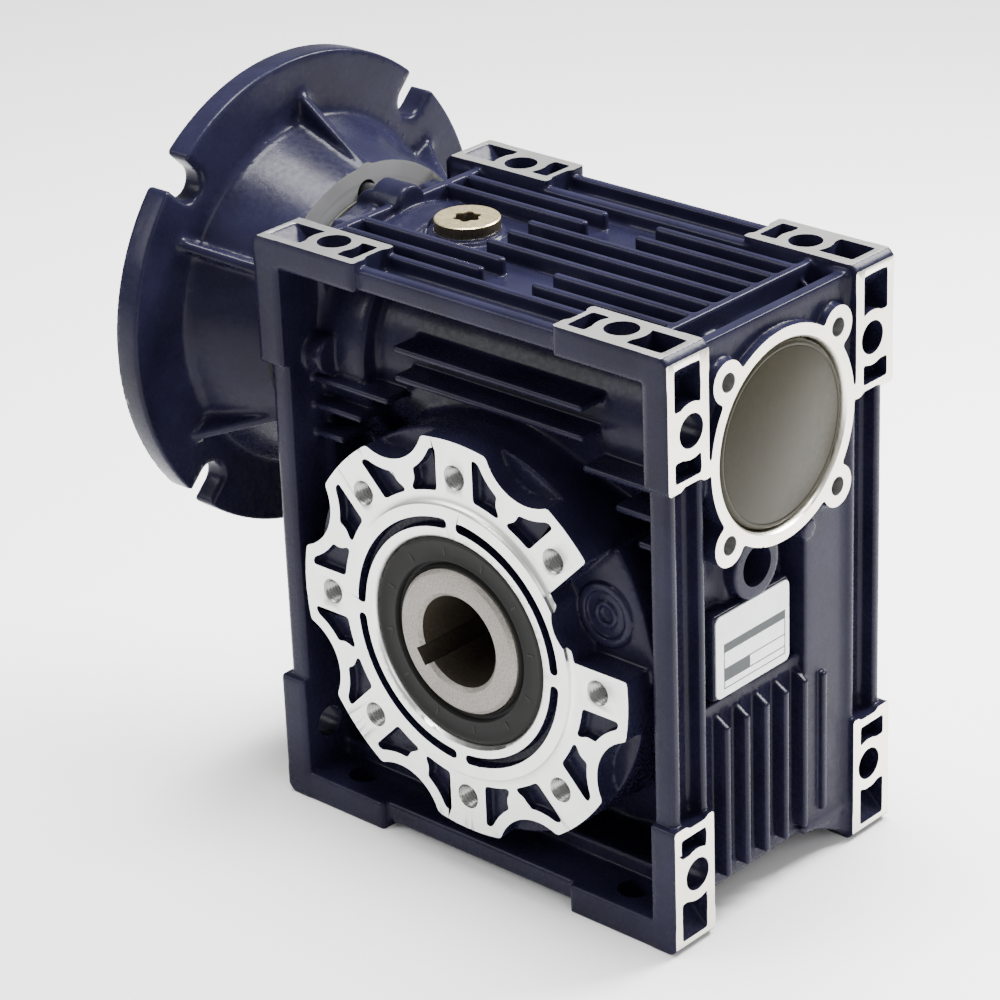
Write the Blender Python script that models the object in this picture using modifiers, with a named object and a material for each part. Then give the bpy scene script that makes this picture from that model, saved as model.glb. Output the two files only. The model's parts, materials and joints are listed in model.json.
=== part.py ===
"""Right-angle worm gearbox, size 75, ratio 60 to 1, with a hollow output shaft and a motor flange.

Directions: +X runs along the worm towards its closed end, Y along the hollow output shaft, +Z is up.
Everything is placed from the output axis: an empty stands on it, and a second one on the worm axis,
so that the object's own origin lies on the floor under the middle of the gearbox.
Lengths below are in millimetres; meshes are scaled to metres when they are made.
"""

import math

import bmesh
import bpy
from mathutils import Matrix, Vector

MM = 0.001
GAP = 0.3                      # clearance kept between pieces that touch

# Where the two shafts lie
OUTPUT_X = 20.0
OUTPUT_Z = 86.0
CENTRE_DISTANCE = 75.0

# Housing envelope, from the output axis
HALF_LENGTH = 86.3
HALF_WIDTH = 56.0
TOP = 119.2
BOTTOM = -86.0
STEP = 2.2                     # how far the corner pads stand out of the bars between them
BAR_X = HALF_LENGTH - STEP
BAR_Y = HALF_WIDTH - STEP
BAR_TOP = TOP - STEP
BAR_BOTTOM = BOTTOM + STEP
OPENING_X = 76.0
OPENING_TOP = 109.0
OPENING_BOTTOM = -76.0
PAD_LENGTH = 44.9
PAD_INNER = 36.5               # inner edge of every pad, and of the bars, along Y
PAD_HOLE = 5.6
HOLE_Y = 45.0
HOLE_X = 60.0
SIDE_HOLES = (-60.4, 92.8)
ROOF = 111.5
FLOOR = -75.5
FLAT_X = 83.0                  # flat wall at the closed end
LOW_WALL_X = 79.5              # wall behind the fins
FLAT_Y = 15.0                  # where the flat wall begins, across the closed end
FILLER_X = -43.6
RING_BOSS = (-8.2, 32.3)
PLATE_PAD = ((-29.7, -7.9), (8.8, 22.2))

# Output side
FACE_Y = 57.6                  # machined face with the eight threaded holes
HUB_END = 60.0
SPIGOT = 47.5
FACE_RADIUS = 70.0
BOLT_RADIUS = 57.45
BOLT_HOLE = 4.0
SCALLOP_CENTRE = 80.0
SCALLOP_RADIUS = 17.65
SCALLOP_DEPTH = 7.7
DRUM_RADIUS = 77.5
CHAMBER_RADIUS = 66.5
COVER_SEAT = 43.5
SEAL_RADIUS = 36.0
SEAL_SHOULDER = 50.3
BALL_RACE_OUTER = 40.0
COVER_SCREWS = 72.4
COVER_PLATE = 49.9             # outer face of the cover's plate, where the screw heads sit

# Worm side
TUBE_RADIUS = 34.0
COLLAR_RADIUS = 40.0
COLLAR_END = -87.4
COLLAR_START = -55.2
CAP_RING = 35.8
CAP_BORE = 31.3
EAR_OFFSET = 27.2
EAR_RADIUS = 7.1
MOTOR_BORE = 34.3
FLANGE_FACE = -126.3
FLANGE_SEAT = -88.8
FLANGE_RADIUS = 82.55
FLANGE_PILOT = 57.15
FLANGE_BOLTS = 74.6
FLANGE_SCREWS = 41.0
LOCATING_RADIUS = 34.0         # ring that centres the flange in the housing

# Gears
MODULE = 2.0
WHEEL_TEETH = 60
WORM_PITCH_RADIUS = 15.0
LEAD = math.pi * MODULE
PRESSURE = math.radians(20.0)
THINNING = 0.36                # taken off every tooth and off the thread, at the pitch line
WHEEL_WIDTH = 26.0
WORM_LENGTH = 57.0
WORM_ROOT = WORM_PITCH_RADIUS - 1.25 * MODULE

PAINT = ("navy_paint", (0.016, 0.022, 0.060), 0.30, 0.0)
ALUMINIUM = ("machined_aluminium", (0.78, 0.78, 0.76), 0.35, 1.0)
STEEL = ("ground_steel", (0.55, 0.55, 0.56), 0.30, 1.0)
BLACK_STEEL = ("black_oxide_steel", (0.03, 0.03, 0.035), 0.45, 0.8)
CAST_HUB = ("cast_iron_hub", (0.34, 0.32, 0.30), 0.60, 0.8)
BRONZE = ("bronze", (0.72, 0.45, 0.18), 0.32, 1.0)
RUBBER = ("black_rubber", (0.055, 0.055, 0.055), 0.70, 0.0)
OLIVE_CAP = ("olive_cap_coating", (0.15, 0.145, 0.11), 0.45, 0.0)
ZINC = ("yellow_zinc", (0.66, 0.60, 0.38), 0.32, 0.9)
PLATE = ("silver_plate", (0.80, 0.80, 0.80), 0.35, 0.2)
FIBRE = ("gasket_fibre", (0.25, 0.24, 0.18), 0.80, 0.0)


# ---------------------------------------------------------------- scene and materials

for old in list(bpy.data.objects):
    bpy.data.objects.remove(old, do_unlink=True)

PARTS = bpy.data.collections.new("worm_gearbox")
TOOLS = bpy.data.collections.new("cutters")
for group in (PARTS, TOOLS):
    bpy.context.scene.collection.children.link(group)


def axis_empty(name, z):
    empty = bpy.data.objects.new(name, None)
    empty.location = (OUTPUT_X * MM, 0.0, z * MM)
    PARTS.objects.link(empty)
    return empty


OUTPUT_AXIS = axis_empty("output_axis", OUTPUT_Z)
WORM_AXIS = axis_empty("worm_axis", OUTPUT_Z + CENTRE_DISTANCE)


def material(spec):
    name, colour, roughness, metallic = spec
    if name in bpy.data.materials:
        return bpy.data.materials[name]
    made = bpy.data.materials.new(name)
    made.use_nodes = True
    shader = made.node_tree.nodes["Principled BSDF"]
    shader.inputs["Base Color"].default_value = (*colour, 1.0)
    shader.inputs["Roughness"].default_value = roughness
    shader.inputs["Metallic"].default_value = metallic
    return made


# ---------------------------------------------------------------- basic solids

TO_X = Matrix.Rotation(math.radians(90), 4, "Y")       # turns local +Z to world +X
TO_Y = Matrix.Rotation(math.radians(-90), 4, "X")      # turns local +Z to world +Y
FROM_FRONT = Matrix.Rotation(math.radians(90), 4, "X")  # lays an (x, z) outline on the front
FROM_SIDE = Matrix.Rotation(math.radians(90), 4, "Z") @ FROM_FRONT   # and a (y, z) one on the end
TURN = {"x": TO_X, "y": TO_Y, "z": Matrix.Identity(4)}


def finish_mesh(bm, matrix):
    """Turns a bmesh drawn in millimetres into a mesh in metres."""
    bmesh.ops.transform(bm, matrix=Matrix.Scale(MM, 4) @ matrix, verts=bm.verts)
    mesh = bpy.data.meshes.new("solid")
    bm.to_mesh(mesh)
    bm.free()
    return mesh


def box(low, high):
    bm = bmesh.new()
    bmesh.ops.create_cube(bm, size=1.0)
    size = Vector(high) - Vector(low)
    middle = (Vector(high) + Vector(low)) / 2
    return finish_mesh(bm, Matrix.Translation(middle) @ Matrix.Diagonal((*size, 1.0)))


def at(axis, start, across):
    """Where a point lies that is `start` along an axis and `across` in the other two directions."""
    first, second = across
    placed = {"x": (start, first, second), "y": (first, start, second), "z": (first, second, start)}
    return Vector(placed[axis])


def rod(axis, radius, start, end, across=(0.0, 0.0), sides=32, end_radius=None):
    """A round bar or cone along an axis, with `across` its centre in the other two directions."""
    bm = bmesh.new()
    far = radius if end_radius is None else end_radius
    bmesh.ops.create_cone(bm, cap_ends=True, segments=sides, radius1=radius, radius2=far,
                          depth=end - start)
    move = Matrix.Translation(at(axis, (start + end) / 2, across))
    return finish_mesh(bm, move @ TURN[axis])


def turned(profile, axis, sides=32, across=(0.0, 0.0)):
    """A turned solid: `profile` is a list of (radius, place along the axis)."""
    points = list(profile)
    area = sum(a[0] * b[1] - b[0] * a[1] for a, b in zip(points, points[1:] + points[:1]))
    if area > 0:
        points.reverse()
    on_axis = [i for i, p in enumerate(points) if p[0] == 0.0]
    closed = not on_axis
    if on_axis and not (points[0][0] == 0.0 and points[-1][0] == 0.0):
        cut = on_axis[-1] if on_axis[-1] - on_axis[0] == 1 else on_axis[0]
        points = points[cut:] + points[:cut]
    bm = bmesh.new()
    corners = [bm.verts.new((r, 0.0, along)) for r, along in points]
    for a, b in zip(corners, corners[1:]):
        bm.edges.new((a, b))
    if closed:
        bm.edges.new((corners[-1], corners[0]))
    spinner = bpy.data.objects.new("profile", finish_mesh(bm, Matrix.Identity(4)))
    TOOLS.objects.link(spinner)
    screw = spinner.modifiers.new("turn", "SCREW")
    screw.steps = screw.render_steps = sides
    screw.use_merge_vertices = True
    screw.merge_threshold = 0.00001
    screw.use_smooth_shade = False
    return applied(spinner, Matrix.Translation(at(axis, 0.0, across) * MM) @ TURN[axis])


def applied(made, matrix):
    """The evaluated mesh of an object, welded and moved; the object itself is removed."""
    shown = made.evaluated_get(bpy.context.evaluated_depsgraph_get())
    mesh = bpy.data.meshes.new_from_object(shown)
    bpy.data.objects.remove(made, do_unlink=True)
    bm = bmesh.new()
    bm.from_mesh(mesh)
    bmesh.ops.remove_doubles(bm, verts=bm.verts, dist=0.000002)
    bmesh.ops.recalc_face_normals(bm, faces=bm.faces)
    bmesh.ops.transform(bm, matrix=matrix, verts=bm.verts)
    bm.to_mesh(mesh)
    bm.free()
    return mesh


def prism(outline, axis, start, end):
    """An outline, drawn in (x, z) for the Y axis, (y, z) for X or (x, y) for Z, given a thickness."""
    curve = bpy.data.curves.new("outline", "CURVE")
    curve.dimensions = "2D"
    curve.fill_mode = "BOTH"
    curve.extrude = (end - start) / 2 * MM
    spline = curve.splines.new("POLY")
    spline.points.add(len(outline) - 1)
    for point, (u, v) in zip(spline.points, outline):
        point.co = (u * MM, v * MM, 0.0, 1.0)
    spline.use_cyclic_u = True
    flat = bpy.data.objects.new("outline", curve)
    TOOLS.objects.link(flat)
    lay = {"x": FROM_SIDE, "y": FROM_FRONT, "z": Matrix.Identity(4)}[axis]
    return applied(flat, Matrix.Translation(at(axis, (start + end) / 2, (0.0, 0.0)) * MM) @ lay)


def arc(centre, radius, start, end, steps):
    """Points on an arc, from one angle in degrees to another."""
    for i in range(steps + 1):
        angle = math.radians(start + (end - start) * i / steps)
        yield centre[0] + radius * math.cos(angle), centre[1] + radius * math.sin(angle)


def polar(radius, degrees):
    angle = math.radians(degrees)
    return radius * math.cos(angle), radius * math.sin(angle)


# ---------------------------------------------------------------- joining and cutting

def tool(name, mesh, parent, group):
    made = bpy.data.objects.new(name, mesh)
    made.parent = parent
    made.hide_render = True
    made.display_type = "WIRE"
    group.objects.link(made)
    return made


def part(name, spec, joined, cuts=(), parent=OUTPUT_AXIS, solver="EXACT"):
    """A named piece: the first solid, with the others joined to it and the cuts taken out."""
    made = bpy.data.objects.new(name, joined[0])
    made.parent = parent
    PARTS.objects.link(made)
    made.data.name = name
    for mesh in (*joined, *cuts):
        mesh.shade_smooth()
        mesh.set_sharp_from_angle(angle=math.radians(30))
    made.data.materials.clear()
    made.data.materials.append(material(spec))
    for kind, meshes in (("UNION", joined[1:]), ("DIFFERENCE", cuts)):
        if not meshes:
            continue
        group = bpy.data.collections.new(f"{name}_{kind.lower()}")
        TOOLS.children.link(group)
        for number, mesh in enumerate(meshes):
            tool(f"{name}_{kind.lower()}_{number}", mesh, parent, group)
        boolean = made.modifiers.new(kind.lower(), "BOOLEAN")
        boolean.operation = kind
        boolean.operand_type = "COLLECTION"
        boolean.collection = group
        boolean.solver = solver
    return made


# ---------------------------------------------------------------- housing

def corner_pads():
    """Eight L-shaped corners, which carry the machined pads."""
    for sx in (-1, 1):
        for sy in (-1, 1):
            for pad, bar_edge in ((TOP, OPENING_TOP), (BOTTOM, OPENING_BOTTOM)):
                up = math.copysign(1, pad)
                ends = sorted((pad, bar_edge)), sorted((pad, pad - up * PAD_LENGTH))
                y = sorted((sy * PAD_INNER, sy * HALF_WIDTH))
                along = sorted((sx * (HALF_LENGTH - PAD_LENGTH), sx * HALF_LENGTH))
                wall = sorted((sx * OPENING_X, sx * HALF_LENGTH))
                yield box((along[0], y[0], ends[0][0]), (along[1], y[1], ends[0][1]))
                yield box((wall[0], y[0], ends[1][0]), (wall[1], y[1], ends[1][1]))


def pad_holes():
    """Through holes of the pads: along Z at top and bottom, along X at both ends."""
    for sy in (-HOLE_Y, HOLE_Y):
        for x in (-HOLE_X, HOLE_X):
            yield rod("z", PAD_HOLE, OPENING_TOP - 2, TOP + 2, (x, sy), 10)
            yield rod("z", PAD_HOLE, BOTTOM - 2, OPENING_BOTTOM + 2, (x, sy), 10)
        for z in SIDE_HOLES:
            yield rod("x", PAD_HOLE, OPENING_X - 2, HALF_LENGTH + 2, (sy, z), 10)
            yield rod("x", PAD_HOLE, -HALF_LENGTH - 2, -OPENING_X + 2, (sy, z), 10)


POCKET_DEPTH = 6.0
POCKET_Y = (40.4, 52.7)
POCKETS = ((69.8, 81.5), (45.0, 50.6))    # beyond and before the hole, along the pad


def pad_pockets():
    """The cast pockets on both sides of each pad hole."""
    side_shift = SIDE_HOLES[1] - HOLE_X
    for sy in (-1, 1):
        y = sorted((sy * POCKET_Y[0], sy * POCKET_Y[1]))
        for low, high in POCKETS:
            for sx in (-1, 1):
                x = sorted((sx * low, sx * high))
                yield box((x[0], y[0], TOP - POCKET_DEPTH), (x[1], y[1], TOP + 1))
                yield box((x[0], y[0], BOTTOM - 1), (x[1], y[1], BOTTOM + POCKET_DEPTH))
                deep = sorted((sx * (HALF_LENGTH - POCKET_DEPTH), sx * (HALF_LENGTH + 1)))
                yield box((deep[0], y[0], low + side_shift), (deep[1], y[1], high + side_shift))
                yield box((deep[0], y[0], -high), (deep[1], y[1], -low))


GROOVE_Y = (39.8, 50.4)
GROOVE_DEPTH = 5.0


def bar_grooves():
    """The long channels in the outer edges, between the pads."""
    reach = HALF_LENGTH - PAD_LENGTH
    low, high = BOTTOM + PAD_LENGTH, TOP - PAD_LENGTH
    for sy in (-1, 1):
        y = sorted((sy * GROOVE_Y[0], sy * GROOVE_Y[1]))
        yield box((-reach, y[0], BAR_TOP - GROOVE_DEPTH), (reach, y[1], TOP))
        yield box((-reach, y[0], BOTTOM), (reach, y[1], BAR_BOTTOM + GROOVE_DEPTH))
        yield box((BAR_X - GROOVE_DEPTH, y[0], low), (HALF_LENGTH, y[1], high))
        yield box((-HALF_LENGTH, y[0], low), (-BAR_X + GROOVE_DEPTH, y[1], high))


FIN = 2.7
FIN_TOP = 117.4


def roof_fins():
    """Fins along the top, broken around the filler and in the middle."""
    for y in (-30, -20, -10, 0, 10, 20, 30):
        runs = ((-70.0, -9.6), (11.4, 66.5)) if abs(y) >= 20 else ((-25.6, 66.5),)
        for start, end in runs:
            yield box((start, y - FIN / 2, ROOF - 1), (end, y + FIN / 2, FIN_TOP))
    for start, end in ((-73.2, -69.8), (66.0, 69.5)):
        yield box((start, -PAD_INNER - 1, ROOF - 1), (end, PAD_INNER + 1, FIN_TOP))


END_FIN_FRONT = 85.0
END_FIN_TOP = -16.0
END_FIN_FOOT = -70.0


def end_fins():
    """Upright fins with sloping tops, under the worm at both ends, and one low rib."""
    for sx in (-1, 1):
        for y in (-27, -17, -7, 3, 13):
            outline = [(sx * END_FIN_FRONT, END_FIN_FOOT), (sx * END_FIN_FRONT, END_FIN_TOP),
                       (sx * 76.5, END_FIN_TOP + 6.0), (sx * 76.5, END_FIN_FOOT)]
            yield prism(outline, "y", y - FIN / 2, y + FIN / 2)
    yield box((FLAT_X - 1, 23 - FIN / 2, END_FIN_FOOT), (END_FIN_FRONT, 23 + FIN / 2, END_FIN_TOP))


SIDE_FIN_FRONT = 43.6
SIDE_FIN = 2.4
FIN_RING = 79.0                # the side fins stop on this circle about the output axis


def side_fins(sy):
    """Level fins on one broad side: two long ones on the worm tube, and short ones beside the drum."""
    deep, front = (-16.0, -SIDE_FIN_FRONT) if sy < 0 else (16.0, 41.0)
    y = sorted((deep, front))
    for z in (87.0, 77.0):
        yield box((-38.0, y[0], z - SIDE_FIN / 2), (41.5, y[1], z + SIDE_FIN / 2))
    for z in (67.3, 57.5, 47.7):
        edge = math.sqrt(FIN_RING ** 2 - z ** 2)
        yield box((-OPENING_X - 1, y[0], z - SIDE_FIN / 2), (-edge, y[1], z + SIDE_FIN / 2))
        yield box((edge, y[0], z - SIDE_FIN / 2), (OPENING_X + 1, y[1], z + SIDE_FIN / 2))


FACE_POCKET_INNER = 51.6
ARM_HALF_WIDTH = 7.7
FACE_WALL = 4.2
MID_WALL = 3.2


def face_pocket(arm, side):
    """Outline of the cast pocket beside one arm, simplified to its corners and its scalloped edge."""
    middle = arm + side * 22.5
    centre = polar(SCALLOP_CENTRE, middle)
    clear = SCALLOP_RADIUS + FACE_WALL
    ux, uz = polar(1.0, arm)
    vx, vz = -uz * side, ux * side

    def place(along, across):
        return along * ux + across * vx, along * uz + across * vz

    def on_scallop(along):
        across_centre = (centre[0] * vx + centre[1] * vz)
        along_centre = (centre[0] * ux + centre[1] * uz)
        return place(along, across_centre - math.sqrt(clear ** 2 - (along - along_centre) ** 2))

    half_gap = math.degrees(MID_WALL / FACE_POCKET_INNER)
    inner_end = polar(FACE_POCKET_INNER, middle - side * half_gap)
    corner = polar(57.0, middle - side * math.degrees(4.6 / 57.0))
    inner_start = place(math.sqrt(FACE_POCKET_INNER ** 2 - ARM_HALF_WIDTH ** 2), ARM_HALF_WIDTH)
    outer_start = place(65.5, ARM_HALF_WIDTH)
    return [inner_start, outer_start, on_scallop(65.0), on_scallop(61.5), corner, inner_end]


def arc_slot(start, end, y0, y1):
    outline = list(arc((0.0, 0.0), 43.4, start, end, 6))
    outline += list(arc((0.0, 0.0), 40.4, end, start, 6))
    return prism(outline, "y", y0, y1)


def scallop(middle, y0, y1):
    """The hollow between two lobes, stopped short of the frame that surrounds the drum."""
    centre = polar(SCALLOP_CENTRE, middle)
    outward = 90 * round(middle / 90)
    reach = OPENING_X - 0.2 - max(abs(centre[0]), abs(centre[1]))
    edge = math.degrees(math.acos(reach / SCALLOP_RADIUS))
    return prism(list(arc(centre, SCALLOP_RADIUS, outward + edge, outward + 360 - edge, 16)), "y", y0, y1)


def lobed_face(sign, skipped=()):
    """Cuts that shape a machined output face: scallops, pockets, threaded holes and arc slots."""
    face = sign * FACE_Y
    out = sign * (FACE_Y + 4.0)
    for k in range(8):
        middle = 22.5 + 45 * k
        if middle not in skipped:
            y = sorted((out, face - sign * SCALLOP_DEPTH))
            yield scallop(middle, y[0], y[1])
        y = sorted((out, face - sign * 16.0))
        yield rod("y", BOLT_HOLE, y[0], y[1], polar(BOLT_RADIUS, 45 * k), 8)
        for side in (-1, 1):
            if 45 * k + side * 22.5 in skipped:
                continue
            y = sorted((out, face - sign * 5.0))
            yield prism(face_pocket(45 * k, side), "y", y[0], y[1])
    if sign > 0:
        return
    for k in range(4):
        yield arc_slot(90 * k + 2.6, 90 * k + 87.4, out, face + 3.0)


def plug_sector():
    """The sector between two arms that is cut back for the plug boss, as two overlapping cuts."""
    inner = 48.6
    column = OPENING_X - 0.2
    side = 7.0 * math.sqrt(2)
    root = (math.sqrt(2 * inner ** 2 - side ** 2) - side) / 2
    outline = [(math.sqrt(inner ** 2 - 7.5 ** 2), 7.5), (column, 7.5), (column, column - side)]
    outline += [(root + side, root)]
    start, end = 33.0, math.degrees(math.asin(7.5 / inner))
    outline += list(arc((0.0, 0.0), inner, start, end, 5))[1:-1]
    yield prism(outline, "y", -62.0, -46.5)
    yield rod("y", 11.9, -62.0, -46.5, polar(BOLT_RADIUS, 22.5), 24)


def housing():
    frame = box((-BAR_X, -BAR_Y, BAR_BOTTOM), (BAR_X, BAR_Y, BAR_TOP))
    opening = [box((-OPENING_X, -60, OPENING_BOTTOM), (OPENING_X, 60, OPENING_TOP))]
    reach = BAR_X + 1
    belts = [
        box((-81.5, -PAD_INNER, ROOF), (80.0, PAD_INNER, TOP)),
        box((-reach, -PAD_INNER, BOTTOM), (FLAT_X - 6, PAD_INNER, FLOOR)),
        prism([(-PAD_INNER, BOTTOM), (PAD_INNER, BOTTOM + 1.5), (15.0, FLOOR), (-PAD_INNER, FLOOR)],
              "x", FLAT_X - 6.5, reach),
        box((LOW_WALL_X, -PAD_INNER, BOTTOM), (reach, FLAT_Y, 72.0)),
        box((-reach, -PAD_INNER, BOTTOM), (-79.5, PAD_INNER, 30.0)),
        box((FLAT_X, -PAD_INNER, BOTTOM), (reach, PAD_INNER, BAR_TOP - 3)),
    ]
    shell = part("frame_blank", PAINT, [frame], opening + belts + list(bar_grooves()), solver="MANIFOLD")
    blank = applied_part(shell)

    joined = [blank]
    joined += corner_pads()
    joined += [
        box((-OPENING_X - 1, -19.4, FLOOR + 0.5), (OPENING_X + 1, -13.4, OPENING_TOP + 1)),
        box((-79.0, -PAD_INNER - 1, FLOOR), (79.0, PAD_INNER + 1, -72.0)),
        box((-OPENING_X - 1, -19.0, 100.0), (OPENING_X + 1, 9.0, OPENING_TOP + 1)),
        rod("y", DRUM_RADIUS, -19.0, COVER_SEAT, sides=40),
        rod("y", FACE_RADIUS, -FACE_Y, -17.0, sides=40),
        rod("y", SPIGOT, -HUB_END, -FACE_Y + 1, sides=36),
        rod("x", TUBE_RADIUS, -OPENING_X - 1, OPENING_X + 1, (0, CENTRE_DISTANCE), 36),
        rod("x", COLLAR_RADIUS, COLLAR_END, COLLAR_START, (0, CENTRE_DISTANCE), 36),
        rod("x", CAP_RING, 60.0, HALF_LENGTH, (0, CENTRE_DISTANCE), 36),
        rod("z", 12.5, 95.0, 112.7, (FILLER_X, 0.0), 24),
        rod("x", 11.3, 74.0, 81.0, RING_BOSS, 20),
        box((75.0, *PLATE_PAD[0]), (81.2, *PLATE_PAD[1])),
    ]
    for sy in (-EAR_OFFSET, EAR_OFFSET):
        for sz in (-EAR_OFFSET, EAR_OFFSET):
            joined.append(rod("x", EAR_RADIUS, 76.5, HALF_LENGTH, (sy, CENTRE_DISTANCE + sz), 16))
    for k in range(4):
        y, z = polar(FLANGE_SCREWS, 90 * k)
        joined.append(rod("x", 6.8, COLLAR_END, -68.0, (y, z + CENTRE_DISTANCE), 16))
    joined += roof_fins()
    joined += end_fins()
    joined += side_fins(-1)
    joined += side_fins(1)
    boss = [(40.0, 30.0), (57.5, 44.5), (63.5, 37.0), (67.5, 27.0), (70.0, 17.0), (76.5, 10.0),
            (76.5, 6.0), (45.0, 4.0)]
    joined.append(prism(boss, "y", -47.2, -16.0))

    cuts = list(pad_holes()) + list(pad_pockets()) + list(lobed_face(-1, skipped=(22.5,)))
    cuts += plug_sector()
    cuts += [
        rod("y", SEAL_RADIUS + GAP, -62.0, -SEAL_SHOULDER, sides=32),
        rod("y", BALL_RACE_OUTER + GAP, -SEAL_SHOULDER - 0.2, -15.0, sides=32),
        rod("y", DRUM_RADIUS + 0.4, COVER_SEAT, 62.0, sides=40),
        rod("y", CHAMBER_RADIUS, -17.0, COVER_SEAT + 2, sides=36),
        rod("y", CHAMBER_RADIUS - 1, COVER_SEAT - 4, COVER_SEAT + 1, sides=36, end_radius=CHAMBER_RADIUS + 4),
        rod("x", 25.0, -70.0, 70.0, (0, CENTRE_DISTANCE), 32),
        rod("x", MOTOR_BORE, COLLAR_END - 2, -64.5, (0, CENTRE_DISTANCE), 32),
        rod("x", CAP_BORE, 60.4, HALF_LENGTH + 2, (0, CENTRE_DISTANCE), 32),
        rod("z", 8.3, 90.0, 114.0, (FILLER_X, 0.0), 16),
        rod("x", 7.0, 74.5, 82.0, RING_BOSS, 16),
    ]
    for sy in (-EAR_OFFSET, EAR_OFFSET):
        for sz in (-EAR_OFFSET, EAR_OFFSET):
            cuts.append(rod("x", 3.2, 78.0, HALF_LENGTH + 2, (sy, CENTRE_DISTANCE + sz), 8))
    for k in range(4):
        y, z = polar(FLANGE_SCREWS, 90 * k)
        cuts.append(rod("x", 4.4, COLLAR_END - 2, -70.0, (y, z + CENTRE_DISTANCE), 8))
    for k in range(8):
        cuts.append(rod("y", 3.5, COVER_SEAT - 12, COVER_SEAT + 2, polar(COVER_SCREWS, 22.5 + 45 * k), 8))
    part("housing", PAINT, joined, cuts, solver="MANIFOLD")


def applied_part(made):
    """The evaluated mesh of a part that is used inside another one."""
    bpy.context.view_layer.update()
    shown = made.evaluated_get(bpy.context.evaluated_depsgraph_get())
    mesh = bpy.data.meshes.new_from_object(shown)
    bpy.data.objects.remove(made, do_unlink=True)
    return mesh


# ---------------------------------------------------------------- rear cover

def output_cover():
    start = COVER_SEAT + GAP
    body = turned([(40.3, 34.0), (46.0, 34.0), (46.0, start + 1.0), (59.0, start + 1.0), (59.0, 36.0),
                   (65.9, 36.0), (65.9, start), (77.0, start), (77.0, COVER_PLATE),
                   (FACE_RADIUS, COVER_PLATE + 0.02), (FACE_RADIUS, FACE_Y), (SPIGOT, FACE_Y),
                   (SPIGOT, HUB_END), (SEAL_RADIUS + GAP, HUB_END),
                   (SEAL_RADIUS + GAP, SEAL_SHOULDER), (40.3, SEAL_SHOULDER)], "y", 36)
    cuts = list(lobed_face(1))
    for k in range(8):
        cuts.append(rod("y", 3.5, 40.0, 52.0, polar(COVER_SCREWS, 22.5 + 45 * k), 8))
    part("output_cover", ALUMINIUM, [body], cuts)
    part("cover_o_ring", RUBBER,
         [turned([(66.3, 42.1), (67.0, 41.7), (67.8, 42.8), (66.7, 43.2)], "y", 36)])


def cap_screw(name, axis, seat, direction, across, shank, head, length, head_height, parent=OUTPUT_AXIS):
    """A socket head screw whose head stands on `seat` and whose shank runs away from `direction`."""
    top = seat + direction * (head_height + GAP)
    low = seat + direction * GAP
    tip = seat - direction * length
    profile = [(0.0, tip), (shank, tip), (shank, low), (head, low), (head, top), (0.0, top)]
    socket = sorted((top + direction, top - direction * head_height * 0.55))
    part(name, BLACK_STEEL, [turned(profile, axis, 10, across)],
         [rod(axis, head * 0.5, socket[0], socket[1], across, 6)], parent)


def cover_screws():
    for k in range(8):
        cap_screw(f"cover_screw_{k + 1}", "y", COVER_PLATE, 1, polar(COVER_SCREWS, 22.5 + 45 * k),
                  3.0, 5.0, 14.0, 6.0)


# ---------------------------------------------------------------- input flange

def input_flange():
    """A motor flange: disc with four open slots, cone, web with the seal bore, and six ribs.

    A separate ring sits half in the flange and half in the housing, and keeps the two in line.
    """
    back = FLANGE_FACE + 9.3
    neck = FLANGE_SEAT
    seat = LOCATING_RADIUS + GAP
    profile = [(FLANGE_PILOT, FLANGE_FACE), (FLANGE_RADIUS, FLANGE_FACE), (FLANGE_RADIUS, back),
               (61.7, back), (50.4, neck), (seat, neck), (seat, neck - 3.0), (26.0, neck - 3.0),
               (26.0, neck - 8.2), (46.6, neck - 8.2), (54.0, FLANGE_FACE + 4.6),
               (FLANGE_PILOT, FLANGE_FACE + 4.6)]
    joined = [turned(profile, "x", 40)]
    for k in range(6):
        ribs = [(50.0, neck - 1.0), (61.0, back - 0.5), (69.5, back - 0.5), (51.5, neck - 1.0)]
        outline = [(along, radius) for radius, along in ribs]
        rib = prism(outline, "y", -1.7, 1.7)
        rib.transform(Matrix.Rotation(math.radians(60 * k), 4, "X"))
        joined.append(rib)
    cuts = []
    for k in range(4):
        angle = math.radians(45 + 90 * k)
        slot = box((FLANGE_FACE - 1, FLANGE_BOLTS, -5.7), (back + 1, FLANGE_RADIUS + 4, 5.7))
        slot.transform(Matrix.Rotation(angle, 4, "X"))
        cuts.append(slot)
        cuts.append(rod("x", 5.7, FLANGE_FACE - 1, back + 1, polar(FLANGE_BOLTS, 45 + 90 * k), 12))
        cuts.append(rod("x", 4.4, neck - 10, neck + 2, polar(FLANGE_SCREWS, 90 * k), 10))
    part("input_flange", PAINT, joined, cuts, WORM_AXIS)
    part("flange_locating_ring", STEEL,
         [turned([(28.0, neck - 2.7), (LOCATING_RADIUS, neck - 2.7), (LOCATING_RADIUS, neck + 4.0),
                  (28.0, neck + 4.0)], "x", 24)], parent=WORM_AXIS)
    part("flange_gasket", FIBRE,
         [turned([(34.6, -88.45), (36.5, -88.45), (36.5, -87.75), (34.6, -87.75)], "x", 20)],
         parent=WORM_AXIS)
    for k in range(4):
        cap_screw(f"flange_screw_{k + 1}", "x", neck - 8.2, -1, polar(FLANGE_SCREWS, 90 * k),
                  3.9, 5.6, 24.0, 7.5, WORM_AXIS)


# ---------------------------------------------------------------- seals, caps and plugs

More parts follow.
